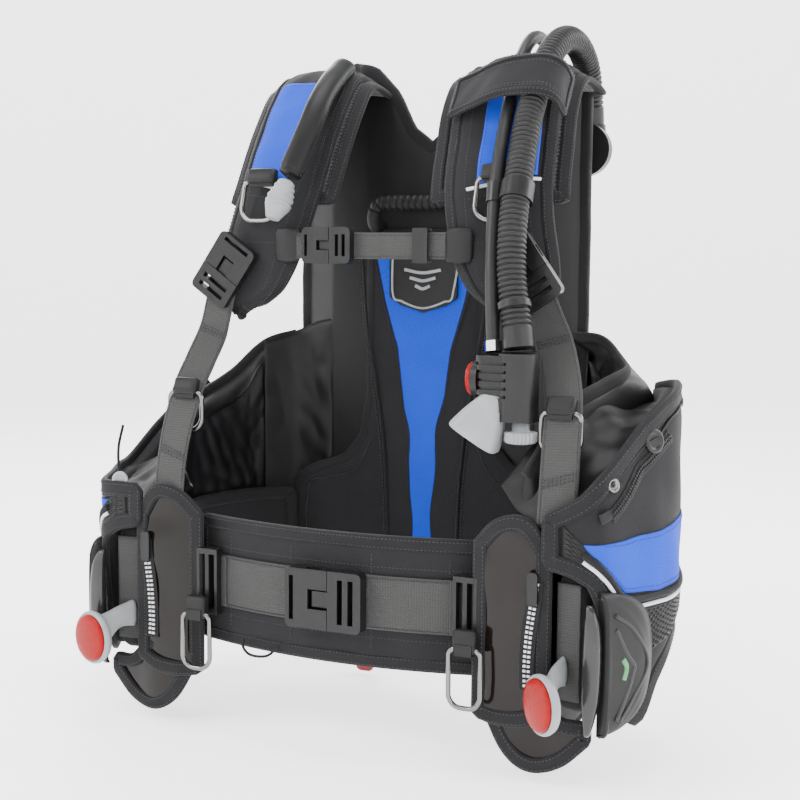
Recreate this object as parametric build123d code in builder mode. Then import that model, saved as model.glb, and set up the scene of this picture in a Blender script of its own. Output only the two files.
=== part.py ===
from build123d import *
import math
import os

# Jacket-style scuba buoyancy vest, in millimetres, as it hangs on its tank band.
# The origin is the middle of the tank band, so the tank's axis is Z. The wearer's front
# faces -Y and the wearer's left arm is on +X.

os.makedirs("parts", exist_ok=True)

# Tank, band and back plate
tank_radius = 92.0
band_width = 50.0
band_thickness = 3.0
cradle_radius = tank_radius + band_thickness + 0.4
plate_rear = 87.0
plate_front = 104.0
cell_front = 116.0
pad_front = 128.0
air_gap = 0.4

# Shoulder straps
strap_thickness = 18.0
strap_tilt = 9.0
strap_middle = 115.0

# Belt: the cummerbund is bent to a wide arc round the wearer's waist
belt_radius = 468.6
belt_front = 333.0
belt_half = 145.0
belt_top = -126.0
belt_bottom = -233.0
webbing_thickness = 2.2
waist_webbing = 50.0
webbing_level = -179.0
chest_webbing_width = 25.0
chest_level = 135.0
chest_front = 252.0

# Weight pouches: they slide out forwards and a little inwards
pouch_mouth = (222.0, -325.0)
pouch_turn = 9.8
pouch_width = 30.0
pouch_length = 120.0
pouch_top = -132.0
pouch_bottom = -258.0
disc_radius = 21.5

# Hoses
hose_radius = 12.3
lp_radius = 6.3
corner_share = 0.45

sides = {"left": 1, "right": -1}


def save(piece, name):
    """Names a finished piece and writes its file."""
    piece.part.label = name
    export_step(piece.part, f"parts/{name}.step")


def strip(points, thickness):
    """Closed outline of a strip: a line, and the same line moved to its left."""
    normals = []
    for start, end in zip(points, points[1:]):
        run = (end[0] - start[0], end[1] - start[1])
        length = math.hypot(*run)
        normals.append((-run[1] / length, run[0] / length))
    moved = []
    for index, point in enumerate(points):
        before = normals[max(index - 1, 0)]
        after = normals[min(index, len(normals) - 1)]
        both = (before[0] + after[0], before[1] + after[1])
        scale = 2 * thickness / (both[0] ** 2 + both[1] ** 2)
        moved.append((point[0] + scale * both[0], point[1] + scale * both[1]))
    return list(points) + moved[::-1]


def flip(points, side):
    """The outline on the wearer's left, or its mirror image on the right."""
    return [(side * point[0], *point[1:]) for point in points]


def prism(points, plane, depth, mode=Mode.ADD, both=False):
    """A closed outline on a plane, pulled out along the plane's normal."""
    with BuildSketch(plane) as outline:
        with BuildLine():
            Polyline(*points, close=True)
        make_face()
    extrude(outline.sketch, amount=depth, both=both, mode=mode)


def block(low, high, mode=Mode.ADD):
    """A box between two corners."""
    size = [top - bottom for bottom, top in zip(low, high)]
    middle = [(top + bottom) / 2 for bottom, top in zip(low, high)]
    with Locations(tuple(middle)):
        Box(*size, mode=mode)


def across_plane(start, end, across):
    """Plane at the start of a run, facing its end, whose x axis lies along across."""
    axis = (Vector(*end) - Vector(*start)).normalized()
    wide = Vector(*across)
    wide = wide - axis * wide.dot(axis)
    return Plane(origin=start, x_dir=tuple(wide), z_dir=tuple(axis))


def distance(start, end):
    return (Vector(*end) - Vector(*start)).length


def corner_radii(points):
    """The largest tangent arc that each corner's two runs allow."""
    radii = []
    for before, corner, after in zip(points, points[1:], points[2:]):
        first = Vector(*corner) - Vector(*before)
        second = Vector(*after) - Vector(*corner)
        turn = math.radians(first.get_angle(second))
        shorter = min(first.length, second.length)
        radii.append(corner_share * shorter / math.tan(turn / 2))
    return radii


def tube(points, radius, bore=0.0):
    """A round hose along straight runs joined by tangent arcs."""
    radii = corner_radii(points)
    with BuildLine() as route:
        FilletPolyline(*points, radius=radii)
    path = route.wires()[0]
    with BuildSketch(across_plane(points[0], points[1], (1, 0.01, 0.02))) as section:
        Circle(radius)
        if bore:
            Circle(bore, mode=Mode.SUBTRACT)
    sweep(section.sketch, path=path)
    return path.length, radii


def ring_plate(width, height, wire, plane, corner):
    """A bent-wire ring: a rounded rectangle of round wire, hanging from its top bar."""
    inset = wire / 2
    half = width / 2 - inset
    low = -height + wire
    points = [(1, 0), (half, 0), (half, low), (-half, low), (-half, 0), (-1, 0)]
    with BuildLine(plane) as route:
        FilletPolyline(*points, radius=[6, corner, corner, 6])
        Line((-1, 0), (1, 0))
    loop = route.wires()[0]
    with BuildSketch(Plane(origin=loop @ 0, z_dir=loop % 0)) as section:
        Circle(inset)
    sweep(section.sketch, path=loop)


# ---------------------------------------------------------------- tank fixing
plate_outline = [
    (-52, 188), (52, 188), (75, 150), (75, -40), (66, -165), (-66, -165), (-75, -40), (-75, 150),
]
with BuildPart() as back_plate:
    prism(plate_outline, Plane.XZ.offset(plate_rear), plate_front - plate_rear)
    Cylinder(cradle_radius, 500, mode=Mode.SUBTRACT)
    with BuildSketch(Plane.XZ.offset(plate_rear)) as windows:
        with GridLocations(62, 92, 2, 3):
            SlotOverall(46, 16, rotation=90)
    extrude(windows.sketch, amount=plate_front - plate_rear, mode=Mode.SUBTRACT)
save(back_plate, "back_plate")

with BuildPart() as tank_band:
    Cylinder(tank_radius + band_thickness, band_width)
    Cylinder(tank_radius, band_width, mode=Mode.SUBTRACT)
save(tank_band, "tank_band")

buckle_half = 34.0
cheek_outer = 30.0
cheek_inner = 26.5
pin_place = (-27.0, 107.5)
pin_radius = 2.5
with BuildPart() as cam_buckle:
    block((-buckle_half, 86, -cheek_outer), (buckle_half, 101.5, cheek_outer))
    Cylinder(tank_radius + band_thickness + air_gap, 80, mode=Mode.SUBTRACT)
    for edge in (-cheek_outer, cheek_inner):
        block((-buckle_half, 101, edge), (-18, 114, edge + cheek_outer - cheek_inner))
    fillet(cam_buckle.edges().filter_by(Axis.Z).group_by(Axis.Y)[-1], 5)
    with Locations((*pin_place, 0)):
        Cylinder(pin_radius, 2 * cheek_outer)
save(cam_buckle, "cam_buckle")

lever_points = [(-32, 103), (-32, 112), (-10, 112), (34, 108), (40, 102.6), (30, 102.6)]
with BuildPart() as cam_lever:
    prism(lever_points, Plane.XY.offset(-24), 48)
    fillet(cam_lever.edges().filter_by(Axis.Z).group_by(Axis.X)[0], 4)
    with Locations((*pin_place, 0)):
        Cylinder(pin_radius + 0.06, 80, mode=Mode.SUBTRACT)
save(cam_lever, "cam_lever")

with BuildPart() as positioning_strap:
    block((-12.5, -94.4, 62), (12.5, -92.6, 186))
save(positioning_strap, "tank_positioning_strap")

# ---------------------------------------------------------------- soft back
cell_plan = [
    (0, -plate_front - 0.3), (78, -plate_front - 0.3), (78, -88), (100, -74), (146, -74), (153, -82),
    (150, -98), (112, -113), (70, -cell_front), (0, -cell_front),
]
cell_face = [
    (0, 233), (25, 252), (42, 287), (66, 312), (92, 318), (125, 311), (142, 298), (153, 280),
    (153, 38), (153, -222), (0, -236),
]
with BuildPart() as air_cell:
    prism(cell_plan + flip(cell_plan[-2:0:-1], -1), Plane.XY.offset(-240), 560)
    prism(cell_face + flip(cell_face[-2:0:-1], -1), Plane.XZ, 300, mode=Mode.INTERSECT)
save(air_cell, "air_cell_back")

pad_half = [
    (0, 146), (56, 146), (62, 138), (62, -13), (69, -62), (95, -93), (132, -101), (150, -116),
    (152, -205), (0, -205),
]
with BuildPart() as back_pad:
    pad_points = pad_half + flip(pad_half[-2:0:-1], -1)
    prism(pad_points, Plane.XZ.offset(cell_front + air_gap), pad_front - cell_front - air_gap)
save(back_pad, "back_pad")

badge_outline = [(-37, 145), (37, 145), (37, 84), (24, 76), (0, 69), (-24, 76), (-37, 84)]
with BuildPart() as badge:
    prism(badge_outline, Plane.XZ.offset(pad_front + 0.3), 4)
    fillet(badge.edges().filter_by(Axis.Y), 5)
save(badge, "badge")

grip_outline = [(-62, 150), (-62, 176), (-50, 187), (48, 187), (60, 176), (60, 150)]
grip_rear = 127.0
grip_front = 141.0
with BuildPart() as carry_handle:
    with BuildSketch(Plane.XZ.offset(grip_rear)) as grip:
        with BuildLine():
            FilletPolyline(*grip_outline, radius=8)
            Line((60, 150), (44, 150))
            FilletPolyline((44, 150), (44, 168), (-46, 168), (-46, 150), radius=6)
            Line((-46, 150), (-62, 150))
        make_face()
    extrude(grip.sketch, amount=grip_front - grip_rear)
    for foot in (-61, 45):
        block((foot, -grip_rear, 152), (foot + 14, -cell_front - 0.3, 174))
    fillet(carry_handle.edges().group_by(Axis.Y)[0], 2)
save(carry_handle, "carry_handle")

# ---------------------------------------------------------------- wings and pockets
wing_plan = [
    (156, -104.5), (205, -108), (240, -140), (250, -163), (226, -205), (205, -320), (150, -318),
    (188, -285), (206, -230), (188, -165), (156, -128),
]
lobe_profile = [
    (-100, 58), (-140, 25), (-180, 18), (-230, 8), (-262, -4), (-300, -38), (-320, -78), (-336, -97),
    (-336, -262), (-320, -304), (-283, -302), (-240, -275), (-190, -245), (-100, -225),
]
pocket_profile = [
    (-150, 14), (-180, 10), (-230, 0), (-262, -12), (-300, -48), (-320, -90), (-336, -110),
    (-336, -268), (-320, -275), (-288, -263), (-262, -236), (-240, -212), (-150, -180),
]


def pouch_point(forward, outward):
    """A point of the pouch's own plan, forward of its mouth and outward of its middle."""
    turn = math.radians(pouch_turn)
    return (
        pouch_mouth[0] - forward * math.sin(turn) + outward * math.cos(turn),
        pouch_mouth[1] - forward * math.cos(turn) - outward * math.sin(turn),
    )


def pouch_rectangle(back, front, inner, outer):
    corners = [(back, inner), (front, inner), (front, outer), (back, outer)]
    return [pouch_point(*corner) for corner in corners]


half_pouch = pouch_width / 2
slot_side = half_pouch + 0.6
pocket_plan = [
    (254, -163), (276, -192), (282, -230), (268, -290), (247, -331),
    pouch_point(3, slot_side), pouch_point(-pouch_length - 1, slot_side),
    pouch_point(-pouch_length - 1, -half_pouch + 1),
]
front_panel_plan = [(144, -322), (204, -323.5), (203, -332), (142, -333)]
side_band_line = [(152, -131), (184, -167), (203, -230), (185, -284), (147.5, -316)]
fairing_thickness = 6.0
fairing_line = [(282, -241), (270, -292), (249.5, -333)]
fairing_profile = [
    (-338, -150), (-325, -146), (-305, -152), (-288, -168), (-276, -196), (-275, -222), (-284, -248),
    (-304, -264), (-338, -270),
]


def side_reach(side):
    """Plane across the vest, inside the lobe on one side, for outlines seen from the side."""
    return Plane.YZ.offset(min(side * 100, side * 320))


for name, side in sides.items():
    with BuildPart() as wing:
        prism(flip(wing_plan, side), Plane.XY.offset(-330), 400)
        prism(lobe_profile, side_reach(side), 220, mode=Mode.INTERSECT)
    save(wing, f"air_cell_wing_{name}")

    with BuildPart() as pocket:
        prism(flip(pocket_plan, side), Plane.XY.offset(-330), 400)
        prism(pocket_profile, side_reach(side), 220, mode=Mode.INTERSECT)
    save(pocket, f"cargo_pocket_{name}")

    with BuildPart() as zip_pull:
        pull_low = (min(side * 189, side * 198), -340.5, -164)
        pull_high = (max(side * 189, side * 198), -337.3, -136)
        block(pull_low, pull_high)
        fillet(zip_pull.edges().filter_by(Axis.Y), 3)
    save(zip_pull, f"zip_pull_{name}")

with BuildPart() as front_panels:
    for side in sides.values():
        prism(flip(front_panel_plan, side), Plane.XY.offset(-306), 208)
save(front_panels, "pocket_front_panels")

with BuildPart() as pocket_zips:
    for side in sides.values():
        block(
            (side * 193.5 - 3.5, -337, -238),
            (side * 193.5 + 3.5, -333.4, -150),
        )
save(pocket_zips, "pocket_zips")

rail_middle = 246.5
with BuildPart() as fairings:
    for side in sides.values():
        fairing_outline = strip(fairing_line, fairing_thickness)
        prism(flip(fairing_outline, side), Plane.XY.offset(-330), 400)
    with BuildPart(mode=Mode.PRIVATE) as fairing_shadow:
        prism(fairing_profile, Plane.YZ.offset(-320), 640)
    add(fairing_shadow.part, mode=Mode.INTERSECT)
    for side in sides.values():
        block(
            (side * rail_middle - 7.5, -348, -270),
            (side * rail_middle + 7.5, -333.5, -160),
        )
save(fairings, "pocket_fairings")

# ---------------------------------------------------------------- weight pouches
# Each pull disc is turned its own way on its soft neck, as they hang on the vest.
disc_places = {"left": (214.0, -378.0, -235.0), "right": (-232.0, -374.0, -235.0)}
disc_faces = {"left": (-0.66, -0.75, 0.0), "right": (-0.3, -0.95, 0.0)}
for name, side in sides.items():
    with BuildPart() as pouch:
        pouch_plan = pouch_rectangle(-pouch_length, 0, -half_pouch, half_pouch)
        prism(flip(pouch_plan, side), Plane.XY.offset(pouch_bottom), pouch_top - pouch_bottom)
    save(pouch, f"weight_pouch_{name}")

    centre = Vector(*disc_places[name])
    facing = Vector(*disc_faces[name]).normalized()
    root = (side * pouch_point(1.5, -4)[0], pouch_point(1.5, -4)[1], -220.0)
    with BuildPart() as pull_handle:
        with BuildSketch(Plane(origin=centre, z_dir=facing)):
            Circle(disc_radius + 3.5)
        extrude(amount=-8)
        neck_start = tuple(centre - facing * 7)
        with BuildSketch(across_plane(neck_start, root, (0, 0, 1))):
            Rectangle(24, 12)
        extrude(amount=distance(neck_start, root))
        add(pouch.part, mode=Mode.SUBTRACT)
    save(pull_handle, f"pouch_handle_{name}")

    with BuildPart() as pull_disc:
        with BuildSketch(Plane(origin=centre + facing * 0.3, z_dir=facing)):
            Circle(disc_radius)
        extrude(amount=3.5)
        fillet(pull_disc.faces().sort_by(Axis(centre, facing))[-1].edges(), 0.8)
    save(pull_disc, f"pouch_disc_{name}")

# ---------------------------------------------------------------- belt
belt_middle = belt_radius - belt_front


def belt_arc(inner, outer, x_low, x_high):
    """A slice of the belt's wide arc, between two depths outside its surface."""
    with BuildSketch(Plane.XY.offset(belt_bottom)) as slice_face:
        with Locations((0, belt_middle)):
            Circle(belt_radius + outer)
            Circle(belt_radius + inner, mode=Mode.SUBTRACT)
        with Locations(((x_low + x_high) / 2, -belt_front)):
            Rectangle(x_high - x_low, 120, mode=Mode.INTERSECT)
    return slice_face.sketch


with BuildPart() as cummerbund:
    extrude(belt_arc(-8, 0, -belt_half, belt_half), amount=belt_top - belt_bottom)
    for side in sides.values():
        band_outline = strip(side_band_line, -4.0)
        prism(flip(band_outline, side), Plane.XY.offset(belt_bottom), belt_top - belt_bottom)
save(cummerbund, "cummerbund")

webbing_low = webbing_level - waist_webbing / 2
with BuildPart() as waist_strap:
    for side in sides.values():
        slice_middle = side * 81.5
        extrude(
            belt_arc(air_gap, air_gap + webbing_thickness, slice_middle - 59.5, slice_middle + 59.5),
            amount=belt_top - belt_bottom,
        )
    block((-200, -400, webbing_low), (200, -250, webbing_low + waist_webbing), Mode.INTERSECT)
save(waist_strap, "waist_webbing")

triglide_middle = 130.0
slot_half = 26.0
with BuildPart() as sliders:
    for side in sides.values():
        middle = side * triglide_middle
        block((middle - 11, -332, webbing_level - 31), (middle + 11, -322, webbing_level + 31))
        for slot in (-8, 2):
            low = (middle + slot, -340, webbing_level - slot_half)
            block(low, (low[0] + 6, -300, webbing_level + slot_half), Mode.SUBTRACT)
    with Locations((0, belt_middle)):
        Cylinder(belt_radius + air_gap + webbing_thickness + 0.3, 600, mode=Mode.SUBTRACT)
    block((44, -257.5, 119), (59, -246.5, 151))
    block((40, -255, 121.5), (63, -249, 148.5), Mode.SUBTRACT)
save(sliders, "webbing_sliders")

# ---------------------------------------------------------------- side-release buckles
shell_wall = 2.4
arm_gap = 0.5
shoulder_width = 7.0
shell_corner = 5.0


def end_corners(piece, plane, end):
    """The upright edges of a piece at one end of a plane's x axis: 0 is its low end, -1 its high end."""
    upright = piece.edges().filter_by(Axis(plane.origin, plane.z_dir))
    return upright.group_by(Axis(plane.origin, plane.x_dir))[end]


def female_half(plane, webbing, length, thickness):
    """The shell: open at its mouth on x = 0, with a window in each side for the arm's catch."""
    half = webbing / 2
    with BuildPart(plane) as shell:
        block((-length, -half - shoulder_width, 0), (0, half + shoulder_width, thickness))
        fillet(end_corners(shell, plane, 0), shell_corner)
        inside = thickness - shell_wall
        block((-0.72 * length, -half - 3, shell_wall), (1, half + 3, inside), Mode.SUBTRACT)
        for low, high in ((-half - 9, -half), (half, half + 9)):
            block((-0.55 * length, low, shell_wall), (-0.2 * length, high, inside), Mode.SUBTRACT)
        block((-0.9 * length, -half, -5), (-0.8 * length, half, thickness + 5), Mode.SUBTRACT)
        block((-0.45 * length, -half * 0.45, shell_wall), (1, half * 0.45, thickness + 5), Mode.SUBTRACT)
    return shell


def male_half(plane, webbing, length, thickness):
    """The arms and their yoke, which slide out of the shell along x."""
    half = webbing / 2
    low = shell_wall + arm_gap
    high = thickness - shell_wall - arm_gap
    with BuildPart(plane) as fork:
        block((0.6, -half - shoulder_width, 0), (0.8 * length, half + shoulder_width, thickness))
        fillet(end_corners(fork, plane, -1), shell_corner)
        for slot in (0.25 * length, 0.5 * length):
            block((slot, -half, -5), (slot + 0.12 * length, half, thickness + 5), Mode.SUBTRACT)
        for side in (-1, 1):
            inner = side * (half - 4)
            outer = side * (half + 2.4)
            block((-0.62 * length, min(inner, outer), low), (0.7, max(inner, outer), high))
        block((-0.38 * length, -half * 0.35, low), (0.7, half * 0.35, high))
    return fork


waist_plane = Plane(origin=(5, -337, webbing_level), x_dir=(1, 0, 0), z_dir=(0, -1, 0))
save(female_half(waist_plane, 40, 42, 12), "waist_buckle_female")
save(male_half(waist_plane, 40, 42, 12), "waist_buckle_male")

chest_plane = Plane(origin=(-40, -chest_front - 0.4, chest_level), x_dir=(1, 0, 0), z_dir=(0, -1, 0))
save(female_half(chest_plane, 20, 28, 9), "chest_buckle_female")
save(male_half(chest_plane, 20, 28, 9), "chest_buckle_male")

# ---------------------------------------------------------------- shoulder straps
strap_profile = [
    (-116.5, 311), (-145, 313), (-170, 301), (-195, 270), (-214, 235), (-232, 195), (-243, 160),
    (-250, 120), (-252, 66),
]
strap_face = [
    (119, 76), (98, 100), (84, 140), (73, 180), (66, 240), (62, 290), (62, 330), (152, 330),
    (152, 290), (156, 240), (162, 180), (172, 140), (178, 110), (164, 82), (140, 70),
]
tilt = math.radians(strap_tilt)
for name, side in sides.items():
    strap_side = Plane(
        origin=(side * strap_middle, 0, 0),
        x_dir=(-side * math.sin(tilt), math.cos(tilt), 0),
        z_dir=(math.cos(tilt), side * math.sin(tilt), 0),
    )
    with BuildPart() as strap:
        prism(strip(strap_profile, strap_thickness), strap_side, 70, both=True)
        prism(flip(strap_face, side), Plane.XZ, 400, mode=Mode.INTERSECT)
        block((-300, -117, 200), (300, 0, 400), Mode.SUBTRACT)
    save(strap, f"shoulder_strap_{name}")

with BuildPart() as chest_strap:
    block(
        (-82, -chest_front + 0.2, chest_level - chest_webbing_width / 2),
        (77, -chest_front + 2.2, chest_level + chest_webbing_width / 2),
    )
    for strap_edge in (-1, 1):
        block((strap_edge * 160 - 80, -270, 100), (strap_edge * 160 + 80, -230, 170), Mode.SUBTRACT)
save(chest_strap, "chest_webbing")

# Lower shoulder webbing: a buckle under each strap's end, and webbing down to the lobe
shoulder_top = (128, -254.5, 148)
shoulder_mouth = (156, -254.5, 108)
lower_webbing_profile = [(-251.9, 98), (-251.9, 50), (-299, 3)]
# The right-hand webbing hangs straighter than the left
lower_webbing_faces = {
    "left": [(151, 98), (187, 98), (225, 3), (187, 3)],
    "right": [(151, 98), (187, 98), (187, 3), (149, 3)],
}


def shoulder_buckle_plane(side):
    """Plane of a shoulder buckle: at its mouth, with x pointing down the webbing."""
    mouth = flip([shoulder_mouth], side)[0]
    top = flip([shoulder_top], side)[0]
    down = (Vector(*mouth) - Vector(*top)).normalized()
    return Plane(origin=mouth, x_dir=tuple(down), z_dir=(0, -1, 0))


for name, side in sides.items():
    save(male_half(shoulder_buckle_plane(side), 30, 36, 9), f"shoulder_buckle_male_{name}")

shoulder_shells = [female_half(shoulder_buckle_plane(side), 30, 36, 9) for side in sides.values()]
with BuildPart() as shell_pair:
    for shoulder_shell in shoulder_shells:
        add(shoulder_shell.part)
save(shell_pair, "shoulder_buckle_females")

with BuildPart() as lower_webbing:
    for name, side in sides.items():
        prism(flip(lower_webbing_faces[name], side), Plane.XZ, 400)
    with BuildPart(mode=Mode.PRIVATE) as webbing_bend:
        prism(strip(lower_webbing_profile, -webbing_thickness), Plane.YZ.offset(-250), 500)
    add(webbing_bend.part, mode=Mode.INTERSECT)
save(lower_webbing, "shoulder_webbing")

# ---------------------------------------------------------------- rings
# Each kind: its bar's x on the left and on the right, its bar's y and z, how far its foot leans
# forward, its width, height and wire
ring_kinds = {
    "shoulder_ring": ({"left": 121, "right": -121}, -241.5, 196, 0.28, 44, 44, 4.5),
    "waist_ring": ({"left": 135, "right": -135}, -343, -208, 0.0, 34, 56, 4.5),
    "accessory_ring": ({"left": 205, "right": -168}, -307, -5, 0.0, 40, 40, 4.5),
}
for kind, (bars, y, z, lean, width, height, wire) in ring_kinds.items():
    for name, x in bars.items():
        bar_plane = Plane(origin=(x, y, z), x_dir=(1, 0, 0), z_dir=(0, -1, lean))
        with BuildPart() as ring:
            ring_plate(width, height, wire, bar_plane, width * 0.34)
        save(ring, f"{kind}_{name}")

with BuildPart() as ring_tabs:
    for bars, y, z, lean, width, height, wire in ring_kinds.values():
        tab_half = width / 2 - 9
        for x in bars.values():
            block((x - tab_half, y - 5, z - 5), (x + tab_half, y + 5, z + 5))
            with Locations((x, y, z)):
                Cylinder(wire / 2 + 0.3, width, rotation=(0, 90, 0), mode=Mode.SUBTRACT)
save(ring_tabs, "ring_tabs")

# ---------------------------------------------------------------- hoses on the left shoulder
hose_route = [
    (147, -50, 258), (147, -56, 305), (149, -92, 336), (149, -146, 337), (146, -192, 304),
    (144, -224, 256), (146, -252, 205), (148, -278, 155), (152, -290, 108), (162, -300, 66),
    (165, -303, 48),
]
with BuildPart() as breathing_hose:
    hose_length, hose_radii = tube(hose_route, hose_radius)
save(breathing_hose, "corrugated_hose")
print("corrugated hose", round(hose_length), [round(radius) for radius in hose_radii])

lp_route = [
    (141, -301, 53), (135, -291, 97), (129, -276, 142), (125, -257, 198), (122, -227, 249),
    (119, -190, 302), (117, -148, 334), (116, -104, 336), (112, -68, 308), (110, -56, 262),
    (113, -52, 205), (116, -55, 145), (115, -58, 90), (113, -58, 45),
]
with BuildPart() as lp_hose:
    lp_length, lp_radii = tube(lp_route, lp_radius)
save(lp_hose, "lp_hose")
print("feed hose", round(lp_length), [round(radius) for radius in lp_radii])
section = math.pi * lp_radius**2
print("feed hose volume over section", round(lp_hose.part.volume / section))

with BuildPart() as lp_fitting:
    hose_foot = across_plane(lp_route[-2], lp_route[-1], (1, 0, 0))
    with BuildSketch(Plane(origin=lp_route[-1], x_dir=hose_foot.x_dir, z_dir=hose_foot.z_dir)):
        Circle(lp_radius + 0.8)
    extrude(amount=12)
    with BuildSketch(Plane(lp_fitting.faces().sort_by(Axis.Z)[0])):
        RegularPolygon(7.5, 6)
    extrude(amount=9)
    with BuildSketch(Plane(lp_fitting.faces().sort_by(Axis.Z)[0])):
        Circle(4.6)
    extrude(amount=9)
save(lp_fitting, "lp_fitting")

with BuildPart() as elbow:
    with Locations((147, -52, 232)):
        Cylinder(18, 20, rotation=(90, 0, 0))
    with BuildSketch(across_plane(hose_route[0], hose_route[1], (1, 0, 0))):
        Circle(hose_radius + 2.2)
    extrude(amount=-20)
    with Locations((147, -68, 232)):
        Cylinder(26, 11, rotation=(90, 0, 0))
    fillet(elbow.edges().filter_by(GeomType.CIRCLE).group_by(Axis.Y)[-1], 2)
save(elbow, "shoulder_elbow")

flap_line = [(64, 9), (104, 27), (118, 32), (158, 32), (168, 22), (170, 2)]
flap_plane = Plane(origin=(0, -195, 270), x_dir=(1, 0, 0), z_dir=(0, -0.555, -0.832))
with BuildPart() as hose_flap:
    prism(strip(flap_line, 2.4), flap_plane, 19, both=True)
save(hose_flap, "hose_flap")


def hose_section(route, level):
    """Plane across a hose's own line at a height, on its front stretch."""
    for start, end in zip(route, route[1:]):
        if min(start[2], end[2]) <= level <= max(start[2], end[2]) and start[1] < -180:
            share = (level - start[2]) / (end[2] - start[2])
            place = tuple(a + share * (b - a) for a, b in zip(start, end))
            return Plane(origin=place, z_dir=tuple(b - a for a, b in zip(start, end)))
    raise ValueError("no stretch of hose at that height")


keeper_level = 181.0
zip_tie_level = 84.0
with BuildPart() as hose_clips:
    # The collar is thin round the feed hose, which leaves the ring behind it room to swing
    held = ((hose_route, hose_radius, 2.6), (lp_route, lp_radius, 1.6))
    for route, radius, wall in held:
        with BuildSketch(hose_section(route, keeper_level)) as collar:
            Circle(radius + wall)
        extrude(collar.sketch, amount=9, both=True)
    for route, radius, wall in held:
        with BuildSketch(hose_section(route, keeper_level)) as hole:
            Circle(radius + 0.7)
        extrude(hole.sketch, amount=30, both=True, mode=Mode.SUBTRACT)
    with BuildSketch(hose_section(hose_route, zip_tie_level)) as tie:
        Circle(hose_radius + 2.2)
        Circle(hose_radius + 0.5, mode=Mode.SUBTRACT)
    extrude(tie.sketch, amount=3, both=True)
save(hose_clips, "hose_clips")

# ---------------------------------------------------------------- inflator
with BuildPart() as inflator:
    with BuildSketch(Plane.XY.offset(-14)) as column:
        with Locations((166, -305)):
            RectangleRounded(32, 32, 11)
    extrude(column.sketch, amount=58)
    with BuildSketch(Plane.XY.offset(-6)) as valve_block:
        with Locations((146, -305)):
            RectangleRounded(32, 30, 8)
    extrude(valve_block.sketch, amount=48)
    for level in range(6, 38, 7):
        with BuildSketch(Plane.XY.offset(level)) as groove:
            with Locations((146, -305)):
                RectangleRounded(40, 40, 8)
                RectangleRounded(28, 26, 6, mode=Mode.SUBTRACT)
            with Locations((176, -305)):
                Rectangle(32, 60, mode=Mode.SUBTRACT)
        extrude(groove.sketch, amount=2.6, mode=Mode.SUBTRACT)
    with Locations((130, -305, 21)):
        Cylinder(16.5, 6, rotation=(0, 90, 0))
    with Locations((129, -305, 21)):
        Cylinder(15.2, 10, rotation=(0, 90, 0), mode=Mode.SUBTRACT)
    with Locations((169, -306, -12)):
        Cylinder(8.4, 6, mode=Mode.SUBTRACT)
save(inflator, "inflator_body")

with BuildPart() as inflate_button:
    with Locations((126.0, -305, 21)):
        Cylinder(15.0, 7.0, rotation=(0, 90, 0))
    fillet(inflate_button.edges().filter_by(GeomType.CIRCLE).group_by(Axis.X)[0], 2.5)
save(inflate_button, "inflate_button")

with BuildPart() as hose_nut:
    with BuildSketch(across_plane(lp_route[0], lp_route[1], (1, 0, 0))):
        RegularPolygon(8, 6)
    extrude(amount=-9)
save(hose_nut, "hose_nut")

mouth_root = Plane(origin=(141.5, -305, -6.4), x_dir=(1, 0, 0), z_dir=(0, 0, -1))
mouth_rim = Plane(origin=(122, -311, -30), x_dir=(0.62, 0, -0.78), z_dir=(-0.78, 0, -0.62))
with BuildPart() as mouthpiece:
    with BuildSketch(mouth_root):
        RectangleRounded(15, 22, 6)
    with BuildSketch(mouth_rim):
        RectangleRounded(44, 24, 10)
    loft()
save(mouthpiece, "mouthpiece")

with BuildPart() as deflate_button:
    with Locations((169, -306, -27)):
        Cylinder(14, 11)
    with Locations((169, -306, -18)):
        Cylinder(8, 7.4)
    fillet(deflate_button.edges().filter_by(GeomType.CIRCLE).group_by(Axis.Z)[0], 3)
save(deflate_button, "deflate_button")

# ---------------------------------------------------------------- shoulder dump
sleeve_route = [(-71, -172, 324), (-70, -212, 291), (-74, -241, 241), (-82, -259, 201)]
sleeve_radius = 12.0
sleeve_bore = 2.4
with BuildPart() as dump_sleeve:
    tube(sleeve_route, sleeve_radius, sleeve_bore)
save(dump_sleeve, "dump_sleeve")

cord_radius = 1.5
cord_inside = 19.0
knob_gap = 7.0
sleeve_end = across_plane(sleeve_route[-2], sleeve_route[-1], (1, 0, 0))
knob_top = Vector(*sleeve_route[-1]) + sleeve_end.z_dir * knob_gap
knob_side = Plane(origin=knob_top, x_dir=sleeve_end.x_dir, z_dir=sleeve_end.y_dir)
with BuildPart() as dump_knob:
    with BuildSketch(knob_side) as half_knob:
        with BuildLine():
            Polyline((0, 0), (8.5, 0), (13, -18), (13, -26), (7, -40), (0, -40), close=True)
        make_face()
    revolve(half_knob.sketch, axis=Axis(knob_top, sleeve_end.z_dir))
    with BuildSketch(Plane(origin=knob_top, z_dir=sleeve_end.z_dir)) as cord_section:
        Circle(cord_radius)
    extrude(cord_section.sketch, amount=-(knob_gap + cord_inside))
save(dump_knob, "dump_knob")

# ---------------------------------------------------------------- rear dump
with BuildPart() as rear_valve:
    with Locations((-122, -65.7, -196)):
        Cylinder(23.5, 16, rotation=(90, 0, 0))
    fillet(rear_valve.edges().filter_by(GeomType.CIRCLE).group_by(Axis.Y)[-1], 4)
save(rear_valve, "rear_dump_valve")

with BuildPart() as dump_tab:
    with BuildSketch(Plane.XZ.offset(110)) as tab_face:
        with Locations((-72, -300)):
            RectangleRounded(19, 32, 5)
        with Locations((-72, -305)):
            SlotOverall(12, 4, mode=Mode.SUBTRACT)
    extrude(tab_face.sketch, amount=4)
    block((-77, -113, -290), (-67, -111, -240))
save(dump_tab, "dump_tab")
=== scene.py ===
import math

import bpy
import bmesh
import numpy as np
from mathutils import Matrix, Vector


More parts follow.
